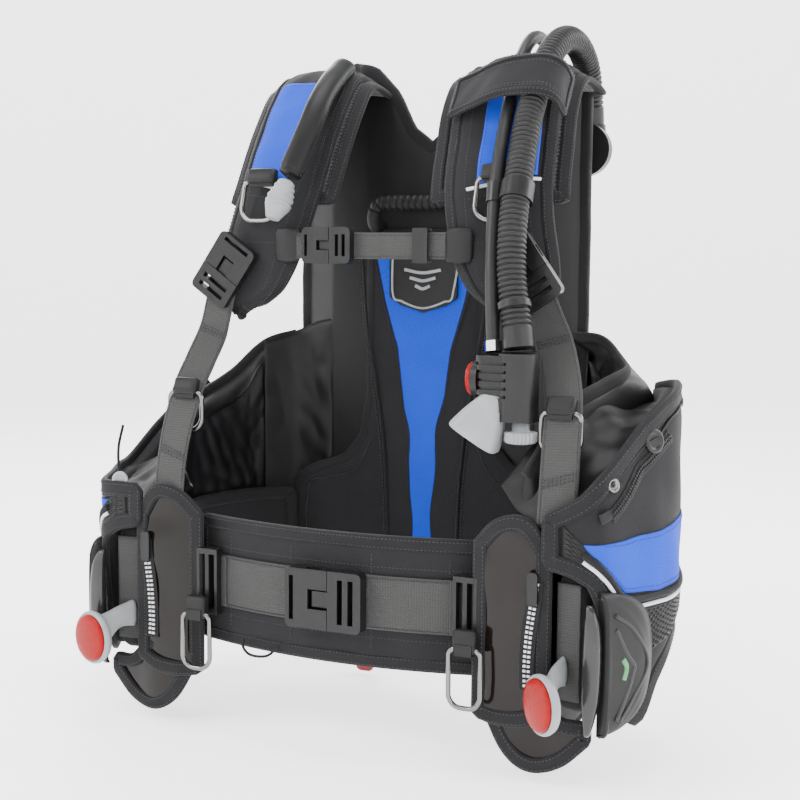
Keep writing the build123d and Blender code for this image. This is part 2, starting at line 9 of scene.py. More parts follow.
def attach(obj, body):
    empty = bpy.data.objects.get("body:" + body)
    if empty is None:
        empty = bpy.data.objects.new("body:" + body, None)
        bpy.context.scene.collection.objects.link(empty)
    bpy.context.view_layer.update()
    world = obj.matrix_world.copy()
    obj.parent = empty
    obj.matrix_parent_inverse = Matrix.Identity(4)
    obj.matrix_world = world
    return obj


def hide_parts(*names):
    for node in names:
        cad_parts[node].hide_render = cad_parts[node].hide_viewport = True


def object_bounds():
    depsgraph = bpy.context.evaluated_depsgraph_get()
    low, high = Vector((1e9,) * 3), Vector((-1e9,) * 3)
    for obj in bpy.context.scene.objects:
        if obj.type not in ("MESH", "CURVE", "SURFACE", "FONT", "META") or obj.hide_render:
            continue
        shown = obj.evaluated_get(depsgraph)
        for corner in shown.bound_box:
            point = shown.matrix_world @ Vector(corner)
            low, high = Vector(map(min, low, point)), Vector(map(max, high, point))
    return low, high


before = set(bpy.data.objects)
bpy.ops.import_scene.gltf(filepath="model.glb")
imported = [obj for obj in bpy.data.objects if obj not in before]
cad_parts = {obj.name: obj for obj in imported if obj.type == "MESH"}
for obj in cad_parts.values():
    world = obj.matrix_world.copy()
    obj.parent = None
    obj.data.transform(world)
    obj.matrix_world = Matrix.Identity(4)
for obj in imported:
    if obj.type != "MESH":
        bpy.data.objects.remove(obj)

bl_info = {
    "name": "Buoyancy Vest",
    "version": (1, 0, 0),
    "blender": (4, 5, 0),
    "location": "View3D > Sidebar > Buoyancy Vest",
    "description": "Sews and finishes a scuba buoyancy vest round its mechanical frame",
    "category": "Add Mesh",
}

# The CAD model's own box, before any cloth is made.
CAD_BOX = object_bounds()

MM = 0.001
SIDES = {"left": 1, "right": -1}
BELT_RADIUS = 468.6
BELT_FRONT = 333.0
BELT_TOP = -126.0
BELT_BOTTOM = -233.0
WEBBING_LEVEL = -179.0
PAD_FRONT = 128.0
TORSO = (0.0, -200.0, -60.0)


# ------------------------------------------------------------------ settings
class VestColours(bpy.types.PropertyGroup):
    """The colours of the vest's cloths and plastics"""
    cordura: bpy.props.FloatVectorProperty(
        name="Cordura", description="Coarse black cloth of the panels and straps",
        subtype="COLOR", size=3, min=0, max=1, default=(0.0105, 0.0105, 0.0115))
    blue: bpy.props.FloatVectorProperty(
        name="Blue cloth", description="Blue inserts on the straps, the back pad and the lobes",
        subtype="COLOR", size=3, min=0, max=1, default=(0.006, 0.042, 0.42))
    webbing: bpy.props.FloatVectorProperty(
        name="Webbing", description="Woven belt, chest strap and lower shoulder straps",
        subtype="COLOR", size=3, min=0, max=1, default=(0.019, 0.0188, 0.0185))
    silver: bpy.props.FloatVectorProperty(
        name="Silver plastic", description="Mouthpiece, knobs and the pouch handles",
        subtype="COLOR", size=3, min=0, max=1, default=(0.22, 0.23, 0.24))
    red: bpy.props.FloatVectorProperty(
        name="Red plastic", description="Inflate button and the pouch pull discs",
        subtype="COLOR", size=3, min=0, max=1, default=(0.23, 0.0, 0.0002))


class VestSizes(bpy.types.PropertyGroup):
    """The sizes of its sewing, padding and hose ridges"""
    binding: bpy.props.FloatProperty(
        name="Binding width", description="Width of the tape sewn over each raw edge",
        unit="LENGTH", default=0.013, min=0.004, max=0.03)
    stitch: bpy.props.FloatProperty(
        name="Stitch pitch", description="Distance from one stitch to the next",
        unit="LENGTH", default=0.0036, min=0.002, max=0.01)
    strap_padding: bpy.props.FloatProperty(
        name="Strap padding", description="Thickness of the padded shoulder straps",
        unit="LENGTH", default=0.017, min=0.006, max=0.03)
    corrugation: bpy.props.FloatProperty(
        name="Hose corrugation", description="Distance from one ridge of the hose to the next",
        unit="LENGTH", default=0.0048, min=0.003, max=0.01)


# ------------------------------------------------------------------ curves and surfaces
def smooth_line(points, count):
    """A Catmull-Rom curve through the points, as count rows evenly spaced along its length."""
    knots = np.asarray(points, float)
    ends = np.vstack([2 * knots[0] - knots[1], knots, 2 * knots[-1] - knots[-2]])
    step = np.linspace(0, len(knots) - 1, 40 * len(knots))
    index = np.minimum(step.astype(int), len(knots) - 2)
    f = (step - index)[:, None]
    a, b, c, d = ends[index], ends[index + 1], ends[index + 2], ends[index + 3]
    dense = 0.5 * (2 * b + (c - a) * f + (2 * a - 5 * b + 4 * c - d) * f**2
                   + (3 * b - a - 3 * c + d) * f**3)
    run = np.concatenate([[0], np.cumsum(np.linalg.norm(np.diff(dense, axis=0), axis=1))])
    even = np.linspace(0, run[-1], count)
    return np.stack([np.interp(even, run, dense[:, k]) for k in range(knots.shape[1])], 1)


def unit(vectors):
    """Vectors divided by their own lengths."""
    return vectors / np.maximum(np.linalg.norm(vectors, axis=-1, keepdims=True), 1e-9)


def grid_normals(grid, away_from=TORSO):
    """Unit normals of a grid of points, turned to face away from a point."""
    normals = unit(np.cross(np.gradient(grid, axis=0), np.gradient(grid, axis=1)))
    outward = np.sum(normals * (grid - np.array(away_from)), axis=-1).mean()
    return normals if outward > 0 else -normals


def finish_mesh(name, points, faces, corner_uv, material, body):
    """Makes the object from arrays in millimetres, with its faces turned outwards."""
    mesh = bpy.data.meshes.new(name)
    mesh.from_pydata((points * MM).tolist(), [], faces.tolist())
    layer = mesh.uv_layers.new(name="cloth")
    layer.data.foreach_set("uv", (corner_uv * MM).ravel())
    mesh.polygons.foreach_set("use_smooth", np.ones(len(mesh.polygons), bool))
    shape = bmesh.new()
    shape.from_mesh(mesh)
    bmesh.ops.recalc_face_normals(shape, faces=shape.faces)
    shape.to_mesh(mesh)
    shape.free()
    thing = bpy.data.objects.new(name, mesh)
    bpy.context.scene.collection.objects.link(thing)
    mesh.materials.append(material)
    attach(thing, body)
    return thing


def quads(rows, columns, wrap_rows=False):
    """Corner rows and columns of each face of a grid, still unwrapped, as (faces, 4) arrays."""
    i, j = np.meshgrid(np.arange(rows if wrap_rows else rows - 1), np.arange(columns), indexing="ij")
    i, j = i.ravel(), j.ravel()
    return np.stack([i, i + 1, i + 1, i], 1), np.stack([j, j, j + 1, j + 1], 1)


def skin(name, rings, material, body="vest", wrap_rows=False):
    """A skin over closed rings of points, (rings, points round, 3). Its UV is the distance
    round each ring and along the rings. Ends are closed by pairing the ring's two halves."""
    rows, columns = rings.shape[:2]
    row, column = quads(rows, columns, wrap_rows)
    faces = (row % rows) * columns + column % columns
    around = np.linalg.norm(np.roll(rings, -1, 1) - rings, axis=2).mean(0)
    along = np.linalg.norm(np.diff(rings, axis=0), axis=2).mean(1)
    u = np.concatenate([[0], np.cumsum(around)])
    v = np.concatenate([[0], np.cumsum(along), [np.sum(along) + along.mean()]])
    uv = np.stack([u[column], v[row]], -1)
    if not wrap_rows:
        half = columns // 2
        j = np.arange(half - 1)
        cap = np.stack([j, j + 1, columns - 2 - j, columns - 1 - j], 1)
        faces = np.vstack([faces, cap, cap + (rows - 1) * columns])
        flat = np.stack([u[cap], np.zeros(cap.shape)], -1)
        uv = np.concatenate([uv, flat, flat])
    return finish_mesh(name, rings.reshape(-1, 3), faces, uv.reshape(-1, 2), material, body)


def grid(u, v):
    """Two grids: u changes along the columns and v along the rows."""
    return np.meshgrid(u, v)


def tape(name, path, normals, width, thickness, material, closed=False, body="vest",
         lift=0.0, sections=12):
    """A flat tape carried along a path and lying on its normals. Its section is a rounded
    oblong: the superellipse of power 4."""
    path = np.asarray(path, float)
    ahead = np.roll(path, -1, 0) - np.roll(path, 1, 0) if closed else np.gradient(path, axis=0)
    tangent = unit(ahead)
    normal = unit(normals - tangent * np.sum(normals * tangent, 1, keepdims=True))
    side = np.cross(tangent, normal)
    turn = np.linspace(0, 2 * math.pi, sections, endpoint=False) + math.pi / sections
    x = np.sign(np.cos(turn)) * np.abs(np.cos(turn)) ** 0.5 * width / 2
    y = np.sign(np.sin(turn)) * np.abs(np.sin(turn)) ** 0.5 * thickness / 2 + lift
    rings = (path[:, None] + side[:, None] * x[None, :, None] + normal[:, None] * y[None, :, None])
    return skin(name, rings, material, body, wrap_rows=closed)


def tube(name, path, radius, material, body="vest", sides=16, closed=False,
         up=(0.3, 0.2, 1.0)):
    """A round tube: circles of the given radius or radii set square to a path."""
    path = np.asarray(path, float)
    ahead = np.roll(path, -1, 0) - np.roll(path, 1, 0) if closed else np.gradient(path, axis=0)
    tangent = unit(ahead)
    normal = unit(np.cross(tangent, np.array(up, float)))
    side = np.cross(tangent, normal)
    turn = np.linspace(0, 2 * math.pi, sides, endpoint=False)
    radius = np.broadcast_to(np.asarray(radius, float), (len(path),))[:, None, None]
    circle = normal[:, None] * np.cos(turn)[None, :, None] + side[:, None] * np.sin(turn)[None, :, None]
    return skin(name, path[:, None] + circle * radius, material, body, wrap_rows=closed)


def turned(name, profile, origin, axis, material, body="vest", sides=40):
    """A turned piece: a profile of (distance along the axis, radius) swept round it."""
    profile = np.asarray(profile, float)
    axis = unit(np.array(axis, float))
    first = unit(np.cross(axis, (0.31, 0.95, 0.12)))
    second = np.cross(axis, first)
    turn = np.linspace(0, 2 * math.pi, sides, endpoint=False)
    circle = first * np.cos(turn)[:, None] + second * np.sin(turn)[:, None]
    rings = (np.array(origin, float) + axis * profile[:, :1])[:, None] \
        + circle[None] * profile[:, 1][:, None, None]
    return skin(name, rings, material, body)


def stitches(name, rows, material, pitch, size=(2.2, 0.75, 0.5)):
    """Every stitch of several rows as one mesh: a small hipped block at each step along each
    path. rows holds (path, normals, sideways shift) for each row."""
    blocks = []
    for path, normals, shift in rows:
        run = np.concatenate([[0], np.cumsum(np.linalg.norm(np.diff(path, axis=0), axis=1))])
        place = np.arange(pitch / 2, run[-1], pitch)
        spot = np.stack([np.interp(place, run, path[:, k]) for k in range(3)], 1)
        after = np.stack([np.interp(place + 0.5, run, path[:, k]) for k in range(3)], 1)
        before = np.stack([np.interp(place - 0.5, run, path[:, k]) for k in range(3)], 1)
        normal = unit(np.stack([np.interp(place, run, normals[:, k]) for k in range(3)], 1))
        tangent = unit(after - before)
        side = np.cross(tangent, normal)
        centre = spot + side * shift
        corners = []
        for high in (-1, 1):
            shrink = 0.62 if high > 0 else 1.0
            for a, b in ((-1, -1), (1, -1), (1, 1), (-1, 1)):
                corners.append(centre + tangent * a * size[0] / 2 * shrink
                               + side * b * size[1] / 2 * shrink + normal * high * size[2])
        blocks.append(np.stack(corners, 1))
    points = np.concatenate(blocks)
    count = len(points)
    box = np.array([[0, 3, 2, 1], [4, 5, 6, 7], [0, 1, 5, 4], [1, 2, 6, 5], [2, 3, 7, 6], [3, 0, 4, 7]])
    faces = (box[None] + 8 * np.arange(count)[:, None, None]).reshape(-1, 4)
    uv = np.tile(np.array([[0, 0], [1, 0], [1, 1], [0, 1.0]]), (len(faces), 1))
    return finish_mesh(name, points.reshape(-1, 3), faces, uv, material, "vest")


# ------------------------------------------------------------------ materials
def shader_nodes(name):
    """A new material with its node tree and its Principled shader."""
    material = bpy.data.materials.new(name)
    material.use_nodes = True
    tree = material.node_tree
    return material, tree, tree.nodes["Principled BSDF"]


def node(tree, kind, inputs=(), **settings):
    """Adds a node, sets its properties and then its inputs by name: a value or a socket."""
    made = tree.nodes.new(kind)
    for key, value in settings.items():
        setattr(made, key, value)
    for key, value in dict(inputs).items():
        socket = made.inputs[key]
        if isinstance(value, bpy.types.NodeSocket):
            tree.links.new(value, socket)
        else:
            socket.default_value = value
    return made


def math_node(tree, operation, a, b=0.0):
    """One step of arithmetic on two values or sockets."""
    made = tree.nodes.new("ShaderNodeMath")
    made.operation = operation
    for socket, value in zip(made.inputs, (a, b)):
        if isinstance(value, bpy.types.NodeSocket):
            tree.links.new(value, socket)
        else:
            socket.default_value = value
    return made.outputs[0]


def ramp(tree, factor, stops):
    """A colour ramp through (position, colour) stops."""
    made = tree.nodes.new("ShaderNodeValToRGB")
    tree.links.new(factor, made.inputs["Fac"])
    points = made.color_ramp.elements
    while len(points) < len(stops):
        points.new(0.5)
    for point, (place, colour) in zip(points, stops):
        point.position = place
        point.color = (*colour, 1.0)
    return made.outputs["Color"]


def tinted(colour, factor):
    """A colour made darker or paler by a factor."""
    return tuple(min(1.0, channel * factor) for channel in colour)


def coordinates(tree, uv):
    """The place on the cloth, as its UV in metres, or on the object."""
    place = node(tree, "ShaderNodeTexCoord")
    return place.outputs["UV" if uv else "Object"]


def noise(tree, place, scale, detail=3.0):
    """Soft cloudy noise between 0 and 1."""
    return node(tree, "ShaderNodeTexNoise",
                {"Vector": place, "Scale": scale, "Detail": detail}).outputs["Fac"]


def set_surface(tree, shader, colour, height, strength, distance, roughness):
    """Links colour, bump and a roughness range to the shader."""
    tree.links.new(colour, shader.inputs["Base Color"])
    bump = node(tree, "ShaderNodeBump", {"Height": height, "Strength": strength, "Distance": distance})
    tree.links.new(bump.outputs["Normal"], shader.inputs["Normal"])
    tree.links.new(roughness, shader.inputs["Roughness"])


def spread_value(tree, factor, low, high):
    """A factor from 0 to 1, stretched between two values."""
    return node(tree, "ShaderNodeMapRange", {
        "Value": factor, "To Min": low, "To Max": high}).outputs["Result"]


def weave(tree, place, pitch):
    """Over-and-under threads: two square sets of sine bands, each raised where the other dips."""
    scaled = node(tree, "ShaderNodeVectorMath", {0: place, 1: (math.pi / pitch,) * 3}, operation="MULTIPLY")
    parts = node(tree, "ShaderNodeSeparateXYZ", {"Vector": scaled.outputs[0]})
    warp = math_node(tree, "SINE", parts.outputs["X"])
    weft = math_node(tree, "SINE", parts.outputs["Y"])
    over = math_node(tree, "MULTIPLY", warp, weft)
    return math_node(tree, "MULTIPLY_ADD", over, 0.5)


def cloth(name, colour, pitch=0.0011, fleck=0.5, roughness=(0.72, 0.95), bump=0.35, sheen=0.05,
          uv=True, fold=0.0, specular=0.12):
    """Woven cloth: threads over and under, flecked yarn and broad soft shading."""
    material, tree, shader = shader_nodes(name)
    place = coordinates(tree, uv)
    threads = weave(tree, place, pitch)
    fine = noise(tree, place, 900.0, 2.0)
    broad = noise(tree, place, 22.0, 4.0)
    mixed = math_node(tree, "ADD", math_node(tree, "MULTIPLY", fine, 0.75),
                      math_node(tree, "MULTIPLY", broad, 0.25))
    shade = ramp(tree, mixed, [(0.25, tinted(colour, 1 - fleck)), (0.5, colour),
                               (0.78, tinted(colour, 1 + 1.4 * fleck))])
    height = math_node(tree, "ADD", math_node(tree, "MULTIPLY", threads, 0.6),
                       math_node(tree, "MULTIPLY", fine, 0.5))
    if fold:
        height = math_node(tree, "ADD", height, math_node(tree, "MULTIPLY", broad, fold))
    set_surface(tree, shader, shade, height, bump, 0.0006, spread_value(tree, broad, *roughness))
    shader.inputs["Sheen Weight"].default_value = sheen
    shader.inputs["Sheen Roughness"].default_value = 0.5
    shader.inputs["Specular IOR Level"].default_value = specular
    return material


def ribbed(name, colour):
    """Webbing: fine square ribs across and along the tape. Its colour follows the rib height: painted shade
    darkens the grooves between the ribs, and the rib tops are paler.
    """
    material, tree, shader = shader_nodes(name)
    place = coordinates(tree, True)
    scaled = node(tree, "ShaderNodeVectorMath",
                  {0: place, 1: (2 * math.pi / 0.0021, 2 * math.pi / 0.0024, 1)},
                  operation="MULTIPLY")
    parts = node(tree, "ShaderNodeSeparateXYZ", {"Vector": scaled.outputs[0]})
    long_ribs = math_node(tree, "SINE", parts.outputs["X"])
    cross_ribs = math_node(tree, "SINE", parts.outputs["Y"])
    ribs = math_node(tree, "MULTIPLY_ADD", math_node(tree, "ADD", long_ribs, cross_ribs), 0.25)
    raised = math_node(tree, "ADD", ribs, 0.5)
    fine = noise(tree, place, 700.0, 2.0)
    mixed = math_node(tree, "ADD", math_node(tree, "MULTIPLY", raised, 0.7),
                      math_node(tree, "MULTIPLY", fine, 0.3))
    # Painted shade: the grooves between the ribs are darkened to 0.35 of the colour, and the rib tops
    # lightened to 1.7 of it.
    shade = ramp(tree, mixed, [(0.2, tinted(colour, 0.35)), (0.5, tinted(colour, 0.9)),
                               (0.85, tinted(colour, 1.7))])
    set_surface(tree, shader, shade, mixed, 0.6, 0.0007, spread_value(tree, fine, 0.55, 0.8))
    shader.inputs["Specular IOR Level"].default_value = 0.2
    shader.inputs["Sheen Weight"].default_value = 0.04
    return material


def coated(name, colour, roughness, crumple=0.004):
    """Coated cloth: glossy, softly crumpled, with a faint grain."""
    material, tree, shader = shader_nodes(name)
    place = coordinates(tree, False)
    broad = noise(tree, place, 16.0, 1.0)
    fine = noise(tree, place, 600.0, 2.0)
    shade = ramp(tree, broad, [(0.3, tinted(colour, 0.8)), (0.55, colour), (0.8, tinted(colour, 1.3))])
    height = math_node(tree, "ADD", broad, math_node(tree, "MULTIPLY", fine, 0.01))
    set_surface(tree, shader, shade, height, 0.3, crumple, spread_value(tree, broad, *roughness))
    shader.inputs["Specular IOR Level"].default_value = 0.2
    return material


def netting(name, colour):
    """Spacer mesh: rows of round holes in a knitted face, set half a step apart. Each hole is painted near
    black as painted shade inside it, and the knit is paler away from the holes.
    """
    material, tree, shader = shader_nodes(name)
    place = coordinates(tree, True)
    cells = node(tree, "ShaderNodeTexVoronoi", {"Vector": place, "Scale": 260.0, "Randomness": 0.15})
    hole = cells.outputs["Distance"]
    # Painted shade: the colour follows the hole depth, near black in each hole and paler on the knit between
    # them.
    shade = ramp(tree, hole, [(0.18, tinted(colour, 0.1)), (0.36, tinted(colour, 1.4)),
                              (0.7, tinted(colour, 3.6))])
    set_surface(tree, shader, shade, hole, 0.9, 0.0012, spread_value(tree, hole, 0.9, 0.6))
    shader.inputs["Specular IOR Level"].default_value = 0.12
    shader.inputs["Sheen Weight"].default_value = 0.2
    return material


def moulded(name, colour, roughness=(0.3, 0.5), grain=0.25, wear=1.5, coat=0.0, specular=0.34):
    """Moulded plastic or rubber: fine spark-eroded grain, and a little paler where it is rubbed."""
    material, tree, shader = shader_nodes(name)
    place = coordinates(tree, False)
    fine = noise(tree, place, 1400.0, 2.0)
    broad = noise(tree, place, 60.0, 4.0)
    shade = ramp(tree, broad, [(0.35, tinted(colour, 0.88)), (0.6, colour), (0.85, tinted(colour, wear))])
    set_surface(tree, shader, shade, fine, grain, 0.0003, spread_value(tree, broad, *roughness))
    shader.inputs["Specular IOR Level"].default_value = specular
    shader.inputs["Coat Weight"].default_value = coat
    shader.inputs["Coat Roughness"].default_value = 0.12
    return material


def metal(name, colour, roughness=(0.12, 0.32)):
    """Polished wire or plating, with fine scratches drawn along one way."""
    material, tree, shader = shader_nodes(name)
    place = coordinates(tree, False)
    drawn = node(tree, "ShaderNodeVectorMath", {0: place, 1: (1.0, 1.0, 0.08)}, operation="MULTIPLY")
    scratches = noise(tree, drawn.outputs[0], 900.0, 3.0)
    shade = ramp(tree, scratches, [(0.3, tinted(colour, 0.8)), (0.7, colour)])
    set_surface(tree, shader, shade, scratches, 0.15, 0.0002, spread_value(tree, scratches, *roughness))
    shader.inputs["Metallic"].default_value = 1.0
    return material


FINISHES = {}


def make_finishes(colours):
    """Every cloth, plastic and metal of the vest, by its short name."""
    black = tuple(colours.cordura)
    FINISHES.update({
        "cordura": cloth("black_cordura", black),
        "binding": cloth("black_binding_tape", tinted(black, 0.75), pitch=0.0016, roughness=(0.6, 0.8)),
        "blue": cloth("blue_cordura", tuple(colours.blue), fleck=0.28, sheen=0.04),
        "shell": cloth("black_shell_nylon", tinted(black, 0.26), pitch=0.0007, fleck=0.25,
                       roughness=(0.4, 0.52), bump=0.2, sheen=0.0, fold=0.6, specular=0.2),
        "webbing": ribbed("grey_webbing", tuple(colours.webbing)),
        "coated": coated("coated_cloth", (0.005, 0.0034, 0.0028), (0.05, 0.12)),
        "netting": netting("spacer_mesh", (0.016, 0.0165, 0.018)),
        "thread": moulded("black_thread", (0.04, 0.04, 0.043), (0.5, 0.7), specular=0.15),
        "piping": moulded("silver_piping", (0.55, 0.57, 0.6), (0.3, 0.45)),
        "black": moulded("black_plastic", (0.0065, 0.0065, 0.007), (0.26, 0.4), wear=1.8, specular=0.26),
        "rubber": moulded("black_rubber", (0.0085, 0.0085, 0.009), (0.42, 0.6), grain=0.4, specular=0.18),
        "silver": moulded("silver_plastic", tuple(colours.silver), (0.28, 0.42), grain=0.12, wear=1.1),
        "red": moulded("red_plastic", tuple(colours.red), (0.22, 0.34), grain=0.06, wear=1.02,
                      specular=0.12),
        "dark_red": moulded("dark_red_plastic", (0.2, 0.006, 0.01), (0.25, 0.4), wear=1.2),
        "teeth": moulded("zip_teeth", (0.55, 0.57, 0.58), (0.22, 0.35), grain=0.1, wear=1.1),
        "webbing_plain": cloth("grey_strap", tuple(colours.webbing), pitch=0.002, uv=False),
        "webbing_edge": moulded("webbing_edge", tinted(tuple(colours.webbing), 0.8), (0.6, 0.8)),
        "hose": moulded("hose_rubber", (0.0085, 0.0085, 0.009), (0.35, 0.5), grain=0.3, specular=0.24),
        "rail": moulded("soft_rail", (0.01, 0.01, 0.0105), (0.2, 0.3), grain=0.1, coat=0.2),
        "green": moulded("green_window", (0.01, 0.16, 0.03), (0.12, 0.2), grain=0.05, coat=0.5),
        "steel": metal("steel_wire", (0.17, 0.165, 0.16)),
        "chrome": metal("plated_brass", (0.75, 0.76, 0.78), (0.06, 0.2)),
    })


# ------------------------------------------------------------------ shared shapes
def lens(name, front, back, material, power=4.0, rim=0.22, relief=None):
    """A padded piece between two grids (along, across, 3): it swells from a thin rim to its
    full thickness as rim + (1 - rim)(1 - |a|^power)^0.7, both across and along. Returns the
    object and the grid of its front."""
    rows, columns = front.shape[:2]
    across = np.abs(np.linspace(-1, 1, columns))
    along = np.abs(np.linspace(-1, 1, rows))
    swell = ((1 - across**power) ** 0.7)[None, :] * ((1 - along ** (power * 2)) ** 0.7)[:, None]
    middle = (front + back) / 2
    half = (front - back) / 2
    top = middle + half * (rim + (1 - rim) * swell)[..., None]
    if relief is not None:
        top = top + unit(half) * (relief * np.minimum(1, 3 * swell))[..., None]
    bottom = middle - half * (rim + (1 - rim) * swell)[..., None]
    thing = skin(name, np.concatenate([top, bottom[:, ::-1]], 1), material)
    return thing, top


def outward(face, away_from=TORSO):
    """Unit normals of a face, turned away from the wearer unless told otherwise."""
    return grid_normals(face, away_from)


def behind(face, thickness):
    """The grid that lies a thickness behind a face."""
    return face - outward(face) * np.asarray(thickness)[..., None]


def sample(surface, along, across):
    """Points of a grid at fractions of its length and width, by bilinear mixing."""
    rows, columns = surface.shape[:2]
    r = np.clip(np.asarray(along) * (rows - 1), 0, rows - 1.001)
    c = np.clip(np.asarray(across) * (columns - 1), 0, columns - 1.001)
    i, j = r.astype(int), c.astype(int)
    f, g = (r - i)[..., None], (c - j)[..., None]
    return ((1 - f) * (1 - g) * surface[i, j] + f * (1 - g) * surface[i + 1, j]
            + (1 - f) * g * surface[i, j + 1] + f * g * surface[i + 1, j + 1])


def region(surface, corners, rows=30, columns=20):
    """The part of a surface inside four corners, each (fraction along, fraction across): start
    left, start right, end right, end left."""
    u, v = grid(np.linspace(0, 1, columns), np.linspace(0, 1, rows))
    c = np.asarray(corners, float)
    mixed = ((1 - v) * (1 - u))[..., None] * c[0] + ((1 - v) * u)[..., None] * c[1] \
        + (v * u)[..., None] * c[2] + (v * (1 - u))[..., None] * c[3]
    return sample(surface, mixed[..., 0], mixed[..., 1])


def rim_of(surface):
    """The closed line round a grid, with its normals."""
    a = np.linspace(0, 1, 60)
    low, high = np.full(60, 0.0), np.full(60, 1.0)
    along = np.concatenate([low[:-1], a[:-1], high[:-1], a[:0:-1]])
    across = np.concatenate([a[:-1], high[:-1], a[:0:-1], low[:-1]])
    normals = outward(surface)
    return sample(surface, along, across), unit(sample(normals, along, across))


def overlay(name, face, material, thickness=1.2, lift=0.7):
    """A flat piece of cloth sewn on a surface: a thin closed sheet just proud of it."""
    normals = outward(face)
    front = face + normals * (lift + thickness / 2)
    back = face + normals * (lift - thickness / 2)
    return lens(name, front, back, material, power=16.0, rim=0.5)


def wrinkle(points, size, depth, seed):
    """Soft random folds: the mean of sines along random directions, about size apart."""
    source = np.random.default_rng(seed)
    ways = unit(source.normal(size=(9, 3))) * (2 * math.pi / size) * source.uniform(0.6, 1.5, (9, 1))
    phase = source.uniform(0, 2 * math.pi, 9)
    return depth * np.sin(points @ ways.T + phase).sum(-1) / 3.5


def bound(name, surface, sizes, thickness=4.0, width=None):
    """Binding tape over a piece's edge, with a row of stitches near each of its long edges."""
    wide = width or sizes.binding / MM
    path, normals = rim_of(surface)
    tape(f"{name}_binding", path, normals, wide, thickness, FINISHES["binding"], closed=True)
    closed_path = np.vstack([path, path[:1]])
    closed_normals = np.vstack([normals, normals[:1]])
    lifted = closed_path + closed_normals * thickness / 2
    rows = [(lifted, closed_normals, wide * 0.3), (lifted, closed_normals, -wide * 0.3)]
    stitches(f"{name}_stitching", rows, FINISHES["thread"], sizes.stitch / MM)


def seam_rows(name, surface, lines, sizes):
    """Rows of stitches on a surface. Each line is its start and end, as fractions along and
    across."""
    rows = []
    normals = outward(surface)
    for start, end in lines:
        a = np.linspace(0, 1, 80)
        along = start[0] + (end[0] - start[0]) * a
        across = start[1] + (end[1] - start[1]) * a
        rows.append((sample(surface, along, across), sample(normals, along, across), 0.0))
    stitches(name, rows, FINISHES["thread"], sizes.stitch / MM)


def curtain(plan, tops, bottoms, rows=60, columns=90):
    """An upright surface: a plan line (x, y), with its own top and bottom height at each plan
    point. Rows run from the bottom to the top."""
    line = smooth_line([(*p, t, b) for p, t, b in zip(plan, tops, bottoms)], columns)
    v = np.linspace(0, 1, rows)[:, None]
    z = line[None, :, 3] + (line[None, :, 2] - line[None, :, 3]) * v
    return np.stack([np.repeat(line[None, :, 0], rows, 0), np.repeat(line[None, :, 1], rows, 0), z], -1)


def mirror(points, side):
    """Points for the left side, or with x turned round for the right."""
    return np.asarray(points, float) * np.array([side, 1, 1])[: np.shape(points)[-1]]


def belt_point(x, depth, z):
    """A point of the belt's wide arc: x across, depth outside its surface, z up."""
    middle = BELT_RADIUS - BELT_FRONT
    radius = BELT_RADIUS + depth
    return np.stack([x * radius / BELT_RADIUS, middle - np.sqrt(radius**2 - (x * radius / BELT_RADIUS) ** 2),
                     z], -1)


def replaced(thing, *nodes):
    """Hides the frame nodes that a piece stands for, and returns the piece."""
    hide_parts(*nodes)
    return thing


def padded(thing):
    """Returns the piece as it is."""
    return thing


# ------------------------------------------------------------------ straps
STRAP_TILT = math.radians(9.0)
# The strap's middle from the shoulder to its tip: x, y, z and half its width
STRAP_LINE = [
    (107, -92, 304, 46), (107, -116, 311, 45), (107, -145, 313, 45), (108, -170, 301, 45),
    (109, -195, 270, 45), (112, -214, 235, 45), (115, -232, 195, 45), (121, -243, 160, 44.5),
    (131, -250, 120, 43), (138, -252, 95, 36), (143, -252, 78, 22), (146, -252, 69, 9),
]


def strap_surface(side, wider=0.0, deeper=0.0, rows=110, columns=33, crown=4.0, keep=1.0):
    """The face of a shoulder strap: its middle line, moved across by u times half the width and
    back by the crown times u squared."""
    line = smooth_line(STRAP_LINE, rows)
    line = line[: max(4, int(rows * keep))]
    middle = mirror(line[:, :3], side)
    across = np.array([side * math.cos(STRAP_TILT), math.sin(STRAP_TILT), 0])
    out = side * unit(np.cross(unit(np.gradient(middle, axis=0)), across))
    u = np.linspace(-1, 1, columns)[None, :, None]
    half = (line[:, 3] + wider)[:, None, None]
    return middle[:, None] + across * u * half - out[:, None] * (crown * u**2 + deeper)


def make_strap(name, side, sizes):
    """A padded shoulder strap: cover, mesh lining, blue insert, piping and quilting."""
    face = strap_surface(side)
    thick = sizes.strap_padding / MM
    soft = wrinkle(face, 38, 0.7, 5 + side)
    strap, top = lens(f"strap_{name}", face, behind(face, thick), FINISHES["cordura"], relief=soft)
    padded(replaced(strap, f"shoulder_strap_{name}"))
    bound(f"strap_{name}", (top + behind(face, thick * 0.5)) / 2, sizes, thickness=8.0)
    lining_face = strap_surface(side, wider=14.0, deeper=thick * 0.72, keep=0.62)
    lining, under = lens(f"strap_lining_{name}", lining_face, behind(lining_face, 7.0),
                         FINISHES["netting"])
    padded(lining)
    bound(f"strap_lining_{name}", under, sizes, thickness=5.0)
    _, patch_top = overlay(
        f"strap_insert_{name}",
        region(top, [(0.26, 0.33), (0.25, 0.90), (0.57, 0.91), (0.605, 0.30)]), FINISHES["blue"])
    seam_rows(f"strap_insert_stitching_{name}", patch_top,
              [((0.03, 0.04), (0.97, 0.04)), ((0.03, 0.96), (0.97, 0.96)), ((0.03, 0.04), (0.03, 0.96))],
              sizes)
    u = np.linspace(0, 1, 50)
    along, across = 0.615 - 0.035 * u, 0.20 + 0.74 * u
    piping = sample(top, along, across) + sample(outward(top), along, across)
    tube(f"strap_piping_{name}", piping, 1.7, FINISHES["piping"], sides=10)
    seam_rows(f"strap_quilting_{name}", top,
              [((0.06, 0.17), (0.9, 0.17)), ((0.06, 0.83), (0.9, 0.83)), ((0.64, 0.2), (0.62, 0.8)),
               ((0.76, 0.2), (0.76, 0.8))], sizes)
    return top


